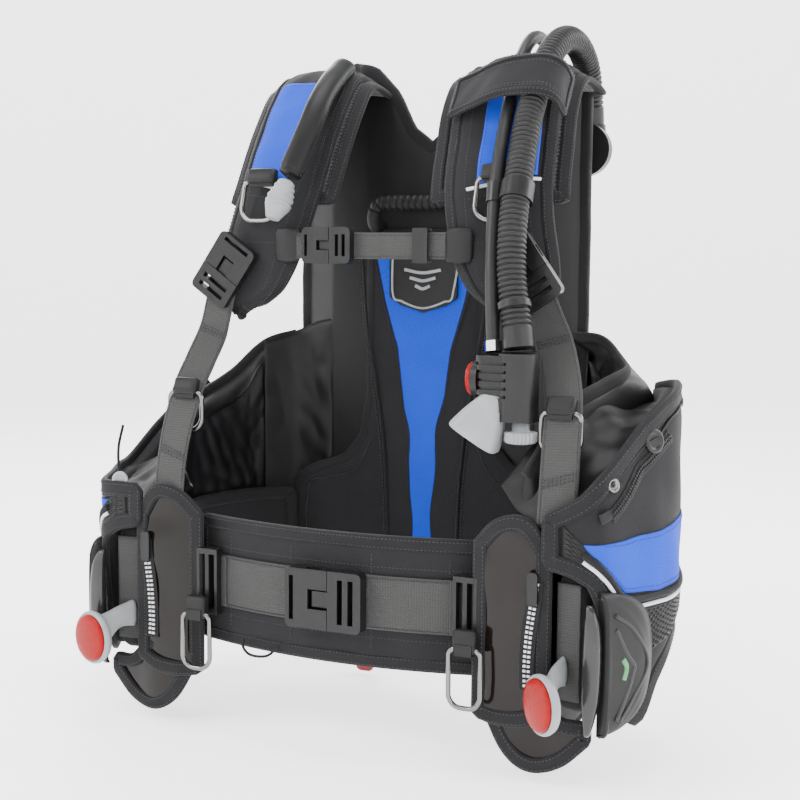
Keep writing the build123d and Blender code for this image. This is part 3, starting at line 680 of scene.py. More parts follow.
# ------------------------------------------------------------------ back
CELL_TOP = [(0, 233), (25, 252), (42, 287), (66, 312), (92, 318), (125, 311), (142, 298), (153, 282)]
PAD_SIDE = [(-205, 152), (-160, 152), (-116, 150), (-101, 132), (-88, 92), (-62, 70), (-13, 62),
            (60, 62), (138, 62), (146, 56)]
STRIPE_SIDE = [(-203, 12), (-175, 12), (-70, 17), (30, 30), (80, 45), (120, 54), (144, 54)]


def column_heights(profile, x):
    """The heights of a symmetrical outline at each x."""
    return np.interp(np.abs(x), [p[0] for p in profile], [p[1] for p in profile])


def make_air_cell(sizes):
    """The back panel: across the wearer's back and up into both shoulders. Its height at each x
    is read from the neckline, and it is thicker beside the tank."""
    x = np.linspace(-153, 153, 121)
    v = np.linspace(0, 1, 100)[:, None]
    top = column_heights(CELL_TOP, x)
    z = -236 + np.abs(x) * 14 / 153 + v * (top + 236 - np.abs(x) * 14 / 153)
    front = np.interp(np.abs(x), [0, 70, 112, 146, 153], [-116, -116, -113, -99, -92])
    rear = np.interp(np.abs(x), [0, 76, 84, 100, 146, 153], [-104.5, -104.5, -88, -76, -76, -84])

    def full(y):
        return np.stack([np.repeat(x[None], 100, 0), np.repeat(y[None], 100, 0), z], -1)

    face, back = full(front), full(rear)
    back[..., 1] += np.where(np.abs(x) > 84, wrinkle(back, 45, 1.6, 3), 0)
    cell, _ = lens("air_cell_back_cover", back, face, FINISHES["shell"], power=9.0, rim=0.3,
                   relief=np.abs(wrinkle(back, 36, 1.5, 4)) * (np.abs(x) > 100))
    bound("air_cell_back", (face * 0.45 + back * 0.55), sizes, thickness=9.0, width=14.0)
    rear = back + [0, 0.4, 0]
    seams = [((0.03, 0.30), (0.93, 0.30)), ((0.03, 0.70), (0.93, 0.70)),
             ((0.94, 0.04), (0.94, 0.96)), ((0.04, 0.04), (0.04, 0.96))]
    seam_rows("air_cell_back_seams", rear[:, 38:83], seams, sizes)
    for name, side in SIDES.items():
        edge = smooth_line(mirror([(80, -96, 262), (80, -96, 120), (80, -96, -40), (80, -96, -224)], side),
                           90)
        tape(f"air_cell_seam_{name}", edge, np.tile([0.0, 1, 0], (90, 1)), 11, 3.0, FINISHES["binding"])
        stitches(f"air_cell_seam_stitching_{name}",
                 [(edge + [0, 1.5, 0], np.tile([0.0, 1, 0], (90, 1)), d) for d in (-3, 3)],
                 FINISHES["thread"], sizes.stitch / MM)
        strap = smooth_line(mirror([(44, -103.6, 232), (44, -103.2, 214), (42, -102.6, 196),
                                    (40, -102.0, 172)], side), 40)
        webbing_tape(f"plate_webbing_{name}", strap, np.tile([0.0, 1, 0], (40, 1)), 25, thickness=2.0)
    return cell


def back_pad_face(widths, depth, rows=90, columns=61, crown=2.0):
    """A face of the back pad: half width read from a table of heights, with a slight crown."""
    z = np.linspace(widths[0][0], widths[-1][0], rows)[:, None]
    half = np.interp(z, [w[0] for w in widths], [w[1] for w in widths])
    u = np.linspace(-1, 1, columns)[None, :]
    x = half * u
    y = -depth + crown * u**2 + 0 * z
    return np.stack([x, y, z + 0 * u], -1)


def make_back_pad(sizes):
    """The back pad with its blue stripe, channels and quilting."""
    face = back_pad_face(PAD_SIDE, PAD_FRONT)
    cover, top = lens("back_pad_cover", face, face + np.array([0, 11.4, 0]), FINISHES["cordura"],
                      power=7.0, relief=wrinkle(face, 60, 0.5, 8))
    padded(replaced(cover, "back_pad"))
    bound("back_pad", (top + face + np.array([0, 8.0, 0])) / 2, sizes, thickness=6.0)
    stripe_face = back_pad_face(STRIPE_SIDE, PAD_FRONT + 0.6, crown=1.0)
    _, stripe_top = overlay("back_pad_stripe", stripe_face, FINISHES["blue"], lift=0.3)
    for edge, column in (("right", 0), ("left", -1)):
        line = stripe_top[:, column]
        tape(f"stripe_edge_{edge}", line, outward(stripe_top)[:, column], 4.0, 2.2, FINISHES["binding"])
    seam_rows("stripe_stitching", stripe_top,
              [((0.01, 0.08), (0.99, 0.05)), ((0.01, 0.92), (0.99, 0.95))], sizes)
    for name, side in SIDES.items():
        edge = mirror([(70, -129, 140), (64, -129, 60), (54, -129, 0), (45, -129, -60), (40, -129, -120),
                       (38, -129, -198)], side)
        line = smooth_line(edge, 70)
        tube(f"back_pad_channel_{name}", line, 1.6, FINISHES["binding"], sides=8)
        outer = smooth_line(mirror([(64, -128.6, -60), (84, -128.2, -96), (118, -126.6, -108),
                                    (140, -125.6, -120),
                                    (143, -125.6, -198)], side), 70)
        stitches(f"back_pad_quilting_{name}", [
            (line + [side * 4, 0, 0], np.tile([0.0, -1, 0], (70, 1)), 0),
            (outer - [side * 7, 0.4, 0], np.tile([0.0, -1, 0], (70, 1)), 0)],
            FINISHES["thread"], sizes.stitch / MM)


HANDLE_LINE = [
    (-55, -118, 154), (-55, -129, 156), (-54.5, -134, 166), (-48, -134, 177), (-36, -134.2, 179),
    (-1, -134.4, 179),
    (34, -134.2, 179), (46, -134, 177), (52.5, -134, 166), (53, -129, 156), (53, -118, 154),
]


def make_handle():
    """The carry handle: a rubber arch whose radius swells and narrows by a rectified sine along
    its line, between two plain feet."""
    path = smooth_line(HANDLE_LINE, 420)
    run = np.concatenate([[0], np.cumsum(np.linalg.norm(np.diff(path, axis=0), axis=1))])
    plain = np.minimum(run, run[-1] - run) < 26
    radius = np.where(plain, 6.6, 5.4 + 2.2 * np.abs(np.sin(math.pi * run / 7.2)) ** 0.6)
    grip = tube("carry_handle_grip", path, radius, FINISHES["rubber"], sides=28,
                up=(0.1, 1, 0))
    replaced(grip, "carry_handle")


def make_badge():
    """The badge's raised frame: a line carried round the shield-shaped outline."""
    outline = [(-33, 141), (33, 141), (33, 88), (23, 80), (0, 73.5), (-23, 80), (-33, 88)]
    loop = smooth_line([(x, -132.6, z) for x, z in outline + outline[:1]], 120)[:-1]
    tube("badge_frame", loop, 1.1, FINISHES["silver"], sides=8, closed=True,
         up=(0, 1, 0))
    bars = [[(-20, 112), (20, 112)], [(-14, 104), (14, 104)], [(-8, 96), (8, 96)]]
    for index, ((x0, z0), (x1, z1)) in enumerate(bars):
        line = smooth_line([(x0, -132.6, z0), ((x0 + x1) / 2, -132.6, z0 - 3), (x1, -132.6, z1)], 24)
        tape(f"badge_bar_{index + 1}", line, np.tile([0.0, -1, 0], (24, 1)), 3.2, 1.6, FINISHES["silver"])


# ------------------------------------------------------------------ lobes
WING_OUT = [(154, -97), (205, -107), (243, -140), (252, -166), (234, -205), (217, -262), (207, -319)]
WING_IN = [(156, -128), (176, -146), (190, -170), (206, -228), (201, -258), (188, -285), (152, -317)]
WING_TOP = {"left": [46, 44, 24, 19, 10, -6, -60], "right": [40, 28, -8, -26, -44, -62, -84]}
WING_LOW = [-224, -226, -234, -238, -256, -290, -284]
POCKET_OUT = [(250, -146), (278, -186), (288, -230), (282, -262), (270, -290), (252, -328), (236, -336),
              (207, -336.5)]
POCKET_IN = [(238, -150), (256, -196), (262, -236), (258, -262), (251, -288), (240, -318), (230, -327),
             (207, -328)]
POCKET_TOP = {"left": [4, 10, 4, -8, -26, -58, -76, -92], "right": [-12, -52, -86, -92, -96, -98, -98, -98]}
POCKET_LOW = [-176, -194, -206, -234, -262, -156, -134, -126]


def make_lobe(name, side, sizes):
    """The inflatable wing that curves round the wearer's side, and the cargo pocket outside it,
    whose cover comes round to the front above the weight pouch's mouth."""
    out = curtain(mirror(WING_OUT, side), WING_TOP[name], WING_LOW)
    inner = curtain(mirror(WING_IN, side), WING_TOP[name], WING_LOW)
    relief = np.abs(wrinkle(out, 34, 2.2, 21))
    wing, _ = lens(f"wing_{name}", inner, out, FINISHES["shell"], power=3.0, rim=0.12,
                   relief=relief)
    padded(replaced(wing, f"air_cell_wing_{name}"))
    edge = 0.5 * out + 0.5 * inner
    for kind, path in (("top", edge[-1] + [0, 0, 1]), ("low", edge[0])):
        normals = np.cross(np.tile([0.0, 0, 1.0], (len(path), 1)), unit(np.gradient(path, axis=0)))
        tape(f"wing_{kind}_binding_{name}", path, normals, 13, 6.5, FINISHES["binding"])
    outer = curtain(mirror(POCKET_OUT, side), POCKET_TOP[name], POCKET_LOW, rows=70, columns=130)
    lining = curtain(mirror(POCKET_IN, side), POCKET_TOP[name], POCKET_LOW, rows=70, columns=130)
    pocket, top = lens(f"cargo_pocket_cover_{name}", outer, lining, FINISHES["cordura"], power=5.0, rim=0.3,
                       relief=wrinkle(outer, 60, 0.8, 31))
    padded(replaced(pocket, f"cargo_pocket_{name}"))
    bound(f"cargo_pocket_{name}", 0.8 * outer + 0.2 * lining, sizes, thickness=7.0, width=15.0)
    make_lobe_top(name, outer, inner)
    root = curtain(mirror([(112, -114.5), (132, -113), (150, -116), (164, -128), (178, -146)], side),
                   [60, 56, 48, 42, 36], [-226, -226, -226, -228, -230], 50, 40)
    rear = root + mirror([-2.0, 9.0, 0], side)
    gusset, _ = lens(f"wing_root_{name}", root, rear, FINISHES["shell"],
                     power=6.0, rim=0.3, relief=np.abs(wrinkle(root, 40, 1.6, 23)))
    padded(gusset)
    return top


def make_lobe_top(name, outer, inner):
    """The soft roof of the lobe: it joins the pocket's top edge to the wing's, and sags by a
    sine between them."""
    u = np.linspace(0, 1, 80)
    a = sample(outer, np.full(80, 0.985), 0.02 + 0.96 * u)
    b = sample(inner, np.full(80, 0.97), 0.10 + 0.88 * u)
    v = np.linspace(0, 1, 40)[:, None, None]
    roof = a[None] * (1 - v) + b[None] * v
    roof[..., 2] -= (14 * np.sin(math.pi * v[..., 0]) + 4)
    roof[..., 2] += wrinkle(roof, 30, 2.0, 51)
    low = roof - np.array([0, 0, 3.0])
    lens(f"lobe_roof_{name}", roof, low, FINISHES["shell"], power=14.0, rim=0.4)


def along_at(surface, across, height):
    """How far along a curtain's columns a height lies, as a fraction."""
    places = np.linspace(0, 1, surface.shape[1])
    low, high = (np.interp(across, places, surface[row, :, 2]) for row in (1, -2))
    return np.clip((height - low) / (high - low), 0.01, 0.99)


def belt_of(surface, across, low, high, rows=24):
    """The part of a curtain between two heights, each given at its own places across."""
    places = np.linspace(across[0], across[-1], 90)
    a, b = np.interp(places, across, low), np.interp(places, across, high)
    z = a[None] + (b - a)[None] * np.linspace(0, 1, rows)[:, None]
    wide = np.repeat(places[None], rows, 0)
    return sample(surface, along_at(surface, wide, z), wide)


def line_on(surface, places, count=70):
    """A smooth line on a curtain through (fraction across, height) places, with its normals."""
    path = smooth_line(places, count)
    along = along_at(surface, path[:, 0], path[:, 1])
    return sample(surface, along, path[:, 0]), unit(sample(outward(surface), along, path[:, 0]))


def make_pocket_trim(name, side, top, sizes):
    """The blue insert, its piping, the zip, the eyelets and the embossed lower panel."""
    places = [0.03, 0.2, 0.39, 0.63, 0.8, 0.91]
    low = [-140, -150, -156, -152, -131, -113]
    high = [-92, -98, -106, -109, -109, -109] if side > 0 else [-104, -106, -112, -112, -111, -110]
    _, blue_top = overlay(f"pocket_insert_{name}", belt_of(top, places, low, high), FINISHES["blue"])
    seam_rows(f"pocket_insert_stitching_{name}", blue_top,
              [((0.08, 0.03), (0.08, 0.9)), ((0.92, 0.03), (0.92, 0.9))], sizes)
    for kind, shift, radius, finish in (("silver", -10, 1.9, "piping"), ("black", -4, 3.2, "binding")):
        line, normals = line_on(top, [(a, z + shift) for a, z in zip(places, low)])
        tube(f"pocket_piping_{kind}_{name}", line + normals * 1.2, radius, FINISHES[finish],
             sides=10)
    dark = belt_of(top, [0.10, 0.3, 0.45, 0.6, 0.78, 0.97], [-170, -196, -206, -190, -146, -124],
                   [-160, -168, -169, -165, -144, -94])
    _, dark_top = overlay(f"pocket_embossed_panel_{name}", dark, FINISHES["rubber"])
    emboss(f"pocket_embossing_{name}", dark_top, FINISHES["black"])
    if side > 0:
        zip_path, zip_normals = line_on(top, [(0.34, -28), (0.5, -52), (0.66, -76), (0.78, -88)])
        zipper(f"pocket_zip_{name}", zip_path, zip_normals, 13.0, FINISHES["black"])
        tongue = line_on(top, [(0.80, -84), (0.86, -88)], 12)
        tape("pocket_zip_tongue", tongue[0] + tongue[1] * 3, tongue[1], 9.0, 2.4, FINISHES["rubber"])
        place, normal = line_on(top, [(0.44, -31), (0.46, -31)], 4)
        eyelet("pocket_eyelet", place[0] + normal[0] * 1.2, normal[0], 10.5, FINISHES["black"])
        place, normal = line_on(top, [(0.76, -62), (0.78, -62)], 4)
        eyelet("pocket_small_eyelet", place[0], normal[0], 6.0, FINISHES["steel"])


def eyelet(name, centre, normal, radius, material):
    """A pressed eyelet: a rolled ring with a dished middle, as one turned profile."""
    dish = [(-0.5, 0.2), (0.2, radius * 0.45), (0.0, radius * 0.5)]
    rolled = [(1.4, radius * 0.62), (2.2, radius * 0.8), (1.6, radius * 0.96), (0.4, radius),
              (-1.0, radius * 0.98)]
    return turned(name, dish + rolled, centre, normal, material, sides=36)


def emboss(name, surface, material, across=26, along=13):
    """A field of small raised triangles pressed into a panel, all in one mesh: three base corners
    and a peak at each place of a staggered grid."""
    u, v = np.meshgrid(np.linspace(0.04, 0.96, across), np.linspace(0.06, 0.94, along))
    u = u + (np.arange(along) % 2)[:, None] * 0.46 / across
    u, v = np.clip(u.ravel(), 0.02, 0.98), v.ravel()
    normals = outward(surface)
    steps = [(-0.4 / across, -0.35 / along), (0.4 / across, -0.35 / along), (0.0, 0.4 / along)]
    corners = [sample(surface, v + dv, u + du) + sample(normals, v, u) * 0.05 for du, dv in steps]
    peak = sample(surface, v, u) + sample(normals, v, u) * 1.1
    points = np.stack(corners + [peak], 1)
    pyramid = np.array([[0, 2, 1], [0, 1, 3], [1, 2, 3], [2, 0, 3]])
    faces = (pyramid[None] + 4 * np.arange(len(points))[:, None, None]).reshape(-1, 3)
    return finish_mesh(name, points.reshape(-1, 3), faces, np.zeros((faces.size, 2)), material, "vest")


def zipper(name, path, normals, width, teeth, tooth=2.6):
    """A zip: its woven tapes and two rows of interlocking square teeth along a line."""
    tape(f"{name}_tape", path, normals, width, 1.0, FINISHES["binding"], lift=0.4)
    rows = [(path + normals * 1.2, normals, 1.8), (path + normals * 1.2, normals, -1.8)]
    stitches(f"{name}_teeth", rows, teeth, tooth, size=(0.62 * tooth, 3.2, 1.1))
    tube(f"{name}_line", path + normals * 0.8, 0.6, FINISHES["black"], sides=8)


FRONT_PANEL = [(143, -331), (162, -335), (184, -336), (201, -333.8)]


def make_front_panel(name, side, sizes):
    """The glossy panel beside the belt: its top is an arc, and it is crumpled between its seams.
    A narrower flap of the same cloth hangs below its hem to the lobe's lowest point."""
    plan = mirror(FRONT_PANEL, side)
    face = curtain(plan, [-118, -100, -98, -120], [-264, -266, -264, -256], rows=80, columns=56)
    crumple = wrinkle(face, 62, 1.3, 44 + side) - 0.6
    panel, _ = lens(f"front_panel_{name}", face, face + [0, 7.5, 0], FINISHES["coated"],
                    power=8.0, rim=0.3, relief=crumple)
    if side > 0:
        replaced(panel, "pocket_front_panels")
    bound(f"front_panel_{name}", face + [0, 2.0, 0], sizes, thickness=6.4, width=14.0)
    low_plan = mirror([(152, -329), (170, -331.5), (190, -332), (214, -329), (236, -326)], side)
    low_tops = [-240, -242, -242, -265, -268]
    low_hems = [-262, -292, -304, -298, -278]
    low_face = curtain(low_plan, low_tops, low_hems, rows=40, columns=50)
    low_crumple = wrinkle(low_face, 46, 1.3, 47 + side) - 0.6
    lens(f"front_flap_{name}", low_face, low_face + [0, 5.0, 0], FINISHES["coated"],
         power=8.0, rim=0.4, relief=low_crumple)
    bound(f"front_flap_{name}", low_face + [0, 1.5, 0], sizes, thickness=6.5, width=13.0)
    line = smooth_line(mirror([(195.5, -335.7, -144), (193.5, -335.7, -162), (190, -335.7, -190),
                               (188.5, -335.7, -216),
                               (189, -335.7, -238)], side), 60)
    zipper(f"pouch_zip_{name}", line, np.tile([0.0, -1, 0], (60, 1)), 14.0, FINISHES["teeth"], tooth=4.2)


def soft_box(name, centres, halves, right, up, material, body, power=4.0, sides=40):
    """A stuffed box: superellipses of the given half width and half height, carried along a
    line."""
    turn = np.linspace(0, 2 * math.pi, sides, endpoint=False) + math.pi / sides
    x = np.sign(np.cos(turn)) * np.abs(np.cos(turn)) ** (2 / power)
    y = np.sign(np.sin(turn)) * np.abs(np.sin(turn)) ** (2 / power)
    centres, halves = np.asarray(centres, float), np.asarray(halves, float)
    right, up = unit(np.asarray(right, float)), unit(np.asarray(up, float))
    rings = centres[:, None] + right * (x * halves[:, :1])[..., None] + up * (y * halves[:, 1:])[..., None]
    return skin(name, rings, material, body)


POUCH_TURN = math.radians(9.8)


def pouch_point(side, forward, outward_by, z):
    """A point of the weight pouch: forward of its mouth, outward of its middle."""
    x = 222 - forward * math.sin(POUCH_TURN) + outward_by * math.cos(POUCH_TURN)
    y = -325 - forward * math.cos(POUCH_TURN) - outward_by * math.sin(POUCH_TURN)
    return np.array([side * x, y, z])


DISC_PLACES = {"left": (214.0, -378.0, -235.0), "right": (-232.0, -374.0, -235.0)}
DISC_FACES = {"left": (-0.66, -0.75, 0.0), "right": (-0.3, -0.95, 0.0)}


def make_pouch(name, side):
    """The sliding weight pouch, its soft-necked pull and the round disc on it."""
    body = f"weight_pouch_{name}"
    reach = np.array([-119, -116, -108, -80, -40, -10, -3, 0.0])
    narrow = np.array([0.55, 0.86, 1, 1, 1, 1, 0.93, 0.8])
    centres = np.array([pouch_point(side, r, 0, -195) for r in reach])
    outward_way = pouch_point(side, 0, 1, 0) - pouch_point(side, 0, 0, 0)
    forward_way = pouch_point(side, 1, 0, 0) - pouch_point(side, 0, 0, 0)
    pouch = soft_box(f"pouch_{name}", centres, np.stack([14.4 * narrow, 62 * narrow], 1), outward_way,
                     (0, 0, 1),
                     FINISHES["cordura"], body)
    padded(replaced(pouch, f"weight_pouch_{name}"))
    handle = pouch_point(side, 1.5, 0, -195)
    front = np.array([handle + [0, 0, z] for z in np.linspace(-50, 50, 24)])
    tape(f"pouch_front_webbing_{name}", front, np.tile(forward_way, (24, 1)), 22, 1.6, FINISHES["webbing"],
         body=body)
    centre, facing = np.array(DISC_PLACES[name]), unit(np.array(DISC_FACES[name]))
    root = pouch_point(side, 2, -4, -220)
    reachout = smooth_line([root, root * 0.6 + centre * 0.4 + [0, 0, 4], centre - facing * 7], 22)
    grow = np.linspace(0, 1, 22)
    halves = np.stack([6.5 + 3.5 * grow**2, 13 - 4 * np.sin(grow * math.pi) + 7 * grow**2], 1)
    soft_box(f"pouch_neck_{name}", reachout, halves, np.cross(facing, (0, 0, 1)), (0, 0, 1),
             FINISHES["silver"], body, power=2.4)
    head = turned(f"pouch_head_{name}", [
        (-9, 9), (-8.6, 19), (-7, 23.5), (-3.5, 25), (-1.4, 25), (0.2, 24.2), (0.9, 22.6), (0.2, 22.0),
        (0, 4)],
        centre, facing, FINISHES["silver"], body, 56)
    replaced(head, f"pouch_handle_{name}")
    disc = turned(f"pouch_disc_cap_{name}", [
        (0, 21.6), (1.6, 21.9), (2.6, 21.4), (3.2, 20.2), (3.7, 17), (4.3, 10), (4.5, 4), (4.5, 0.5)],
        centre, facing, FINISHES["red"], body, 64)
    replaced(disc, f"pouch_disc_{name}")


FAIRING_LINE = [(250, -333.5), (262, -311), (271, -292), (277, -268)]


# The swept ornament: each arm's places along and up the fairing, and its width
SWOOSHES = [
    ([(0.10, -166), (0.42, -182), (0.66, -212), (0.42, -240), (0.20, -258)], 3.4),
    ([(0.12, -178), (0.30, -200), (0.44, -212)], 4.6),
    ([(0.44, -212), (0.36, -228), (0.16, -256)], 5.2),
]


def fairing_point(side, along, height, proud):
    """A point on the moulded fairing: along its plan line from the front edge, at a height, and
    proud of the pocket."""
    line = smooth_line(FAIRING_LINE, 60)
    ahead = unit(np.gradient(line, axis=0))
    steps = np.linspace(0, 1, 60)
    x, y = (np.interp(along, steps, line[:, k]) for k in (0, 1))
    nx, ny = (np.interp(along, steps, v) for v in (-ahead[:, 1] * -1, -ahead[:, 0]))
    return np.stack([side * (x + np.abs(nx) * proud), y + ny * proud, height], -1)


def make_fairing(name, side):
    """The moulded fairing: a D-shaped dome whose round edge bows to the rear, with a stepped rib,
    a swept ornament and a small window, and the soft rail down its front edge."""
    v = np.linspace(-1, 1, 70)[:, None]
    u = np.linspace(0, 1, 60)[None, :]
    reach = np.sqrt(np.clip(1 - np.abs(v) ** 2.4, 0.004, 1))
    along = 0.97 * u * reach
    height = -209 + 61 * v + 0 * u
    dome = 7.5 * (1 - u**4) ** 0.6 * (1 - v**8) ** 0.6
    ring = np.hypot(u - 0.15, 0.55 * (v + 0.1))
    step = 1.6 / (1 + np.exp(-40 * (0.80 - u))) + 1.3 / (1 + np.exp(-50 * (0.55 - ring)))
    face = fairing_point(side, along, height, 1.2 + dome + step * reach)
    back = fairing_point(side, along, height, -1.0)
    rings = np.concatenate([face, back[:, ::-1]], 1)
    shell = skin(f"fairing_{name}", rings, FINISHES["rubber"], "vest")
    if side > 0:
        replaced(shell, "pocket_fairings")
    edge = np.array([(0.0, -152, 2), (0.04, -162, 8), (0.04, -209, 10), (0.04, -262, 8), (0.0, -269, 2)])
    front = smooth_line(fairing_point(side, edge[:, 0], edge[:, 1], edge[:, 2]), 60)
    tube(f"fairing_edge_{name}", front, 1.8, FINISHES["black"], sides=10)
    facing = mirror((0.88, -0.47, 0), side)
    for index, (places, wide) in enumerate(SWOOSHES):
        places = np.array(places)
        curve = smooth_line(fairing_point(side, places[:, 0], places[:, 1], np.full(len(places), 10.4)), 50)
        tape(f"fairing_swoosh_{index + 1}_{name}", curve, np.tile(facing, (50, 1)), wide, 3.0,
             FINISHES["black"])
    glass = np.array([(0.24, -204), (0.30, -212), (0.26, -222)])
    window = smooth_line(fairing_point(side, glass[:, 0], glass[:, 1], np.full(3, 11.2)), 16)
    tape(f"fairing_window_{name}", window, np.tile(facing, (16, 1)), 5.0, 1.8, FINISHES["green"])
    heights = np.array([-158, -164, -176, -200, -226, -250, -266, -270.0])
    lean = np.array([243, 245, 246.5, 247, 246.5, 245, 243, 241.5])
    centres = np.stack([side * lean, np.array([-338, -340, -341, -341.5, -341.5, -341, -338, -336.0]),
                        heights], -1)
    halves = np.array([(3, 3), (6.4, 5), (7.4, 6.2), (7.6, 6.6), (7.6, 6.6), (7.2, 6), (5, 4.4), (2.4, 2.6)])
    count = np.linspace(0, 7, 40)
    thick = np.stack([np.interp(count, np.arange(8), halves[:, k]) for k in (0, 1)], 1)
    soft_box(f"fairing_rail_{name}", smooth_line(centres, 40), thick, (1, 0, 0), (0, 1, 0),
             FINISHES["rail"], "vest", power=3.0)


# ------------------------------------------------------------------ belt
def belt_face(x_low, x_high, z_low, z_high, depth, rows=30, columns=120):
    """A stretch of the belt's arc: the whole width of x, from one height to another."""
    x, z = grid(np.linspace(x_low, x_high, columns), np.linspace(z_low, z_high, rows))
    return belt_point(x, depth, z)


def make_cummerbund(sizes):
    """The quilted cummerbund, and the side bands that join it to the back."""
    face = belt_face(-146, 146, BELT_BOTTOM, BELT_TOP, 0.0)
    back = belt_face(-146, 146, BELT_BOTTOM, BELT_TOP, -8.0)
    soft = wrinkle(face, 55, 0.5, 12)
    cover, top = lens("cummerbund_cover", face, back, FINISHES["cordura"], power=8.0, rim=0.4, relief=soft)
    padded(replaced(cover, "cummerbund"))
    bound("cummerbund", (face + back) / 2, sizes, thickness=9.0)
    seam_rows("cummerbund_quilting", top,
              [((0.2, 0.01), (0.2, 0.99)), ((0.8, 0.01), (0.8, 0.99)), ((0.1, 0.12), (0.9, 0.12)),
               ((0.1, 0.88), (0.9, 0.88)), ((0.1, 0.36), (0.9, 0.36)), ((0.1, 0.64), (0.9, 0.64))], sizes)
    for name, side in SIDES.items():
        plan = mirror([(152, -131), (184, -167), (201, -230), (184, -284), (148, -316)], side)
        inner = curtain(plan, [BELT_TOP] * 5, [BELT_BOTTOM] * 5, 30, 80)
        lens(f"side_band_{name}", inner, inner + unit(inner - [0, -230, 0]) * [4, 4, 0], FINISHES["cordura"],
                       power=8.0, rim=0.4)
        bound(f"side_band_{name}", inner, sizes, thickness=5.0)


def webbing_tape(name, line, normals, width, thickness=2.2, lift=0.0):
    """A length of webbing with a row of stitches down each edge."""
    made = tape(name, line, normals, width, thickness, FINISHES["webbing"], lift=lift)
    rows = [(line + normals * (thickness / 2 + lift), normals, s * (width / 2 - 2.5)) for s in (-1, 1)]
    stitches(f"{name}_edges", rows, FINISHES["webbing_edge"], 2.6, size=(2.0, 1.0, 0.25))
    return made


def make_belt():
    """The waist webbing on each side, folded back at its slider."""
    pieces = []
    for name, side in SIDES.items():
        x = side * np.linspace(20, 141, 80)
        line = belt_point(x, 2.6, np.full(80, WEBBING_LEVEL))
        out = unit(line - [0, BELT_RADIUS - BELT_FRONT, WEBBING_LEVEL])
        pieces.append(webbing_tape(f"waist_webbing_{name}", line, out, 49.5, thickness=3.4))
        x = side * np.linspace(112, 121, 10)
        line = belt_point(x, 5.2, np.full(10, WEBBING_LEVEL))
        out = unit(line - [0, BELT_RADIUS - BELT_FRONT, WEBBING_LEVEL])
        tape(f"waist_webbing_fold_{name}", line, out, 48, 2.4, FINISHES["webbing"])
    replaced(pieces[0], "waist_webbing")


def make_chest_strap():
    """The chest strap: webbing to each buckle half, folded back through its keeper."""
    def level_line(a, b, depth):
        return smooth_line([(a, depth, 135), ((a + b) / 2, depth - 0.4, 134.6), (b, depth, 135)], 40)

    forward = np.tile([0.0, -1, 0], (40, 1))
    first = webbing_tape("chest_webbing_left", level_line(-44, 84, -250.8), forward, 25, thickness=1.8)
    webbing_tape("chest_webbing_folded", level_line(12, 46, -252.9), forward, 24.4, thickness=1.6)
    webbing_tape("chest_webbing_right", level_line(-86, -64, -252.6), forward, 25)
    replaced(first, "chest_webbing")
    for name, side in SIDES.items():
        spot = [side * 88.0, -254.4, 135.0]
        line = [np.array(spot) + [side * d, 0.25 * abs(d), 0] for d in (-13, -11, 0, 11, 13)]
        halves = [(1.6, 12), (2.2, 15), (2.4, 16), (2.2, 15), (1.6, 12)]
        soft_box(f"chest_anchor_{name}", line, halves, (0, -1, 0), (0, 0, 1), FINISHES["rubber"], "vest")


# The lower webbing's fall, y and z, and how far out it lies at each place
LOWER_WEBBING_FALL = [
    (-254, 104), (-253.2, 74), (-258, 50), (-280, 24), (-301, -1), (-317, -36), (-325, -70), (-329, -96),
]
LOWER_WEBBING_OUT = {
    "left": [158, 170, 182, 196, 205.5, 209, 210, 210],
    "right": [157, 164, 168, 168, 168, 170, 172, 172],
}


def make_lower_straps(sizes):
    """Webbing from each shoulder buckle to the lobe, and its stitched foot on the lobe."""
    made = []
    for name, side in SIDES.items():
        fall = [(x, y, z) for x, (y, z) in zip(LOWER_WEBBING_OUT[name], LOWER_WEBBING_FALL)]
        line = smooth_line(mirror(fall, side), 120)
        ahead = unit(np.gradient(line, axis=0))
        across = np.tile([side * 0.96, 0.12, 0.28], (120, 1))
        normal = unit(np.cross(across, ahead)) * side
        normal *= np.sign(-normal[:, 1:2] + 0.2)
        made.append(webbing_tape(f"lower_webbing_{name}", line, normal, 34, lift=1.2))
        for at_row in (30, 100):
            cross = line[at_row] + normal[at_row] * 3 + across[at_row] * np.linspace(-15, 15, 20)[:, None]
            facing = np.tile(normal[at_row], (20, 1))
            bars = [(cross + ahead[at_row] * step, facing, 0) for step in (-3, 0, 3)]
            stitches(f"lower_webbing_bar_{at_row}_{name}", bars, FINISHES["thread"], sizes.stitch / MM)
    replaced(made[0], "shoulder_webbing")


# ------------------------------------------------------------------ hoses
HOSE_ROUTE = [
    (147, -50, 258), (147, -54, 302), (147, -92, 331), (147, -146, 332), (145, -192, 302),
    (143, -224, 256), (145, -252, 205), (148, -278, 155), (152, -290, 108), (162, -300, 66),
    (165, -303, 48),
]
FEED_ROUTE = [
    (141, -301, 53), (135, -291, 97), (129, -276, 142), (125, -257, 198), (122, -227, 249),
    (119, -190, 302), (117, -148, 334), (116, -104, 336), (112, -68, 308), (110, -56, 262),
    (113, -52, 205), (116, -55, 145), (115, -58, 90), (113, -58, 45),
]
KNOB_ROUTE = [(-74, -241, 241), (-82, -259, 201)]
SLEEVE_ROUTE = [(-76, -158, 311), (-72, -206, 287), (-73, -240, 241), (-82, -259, 201)]


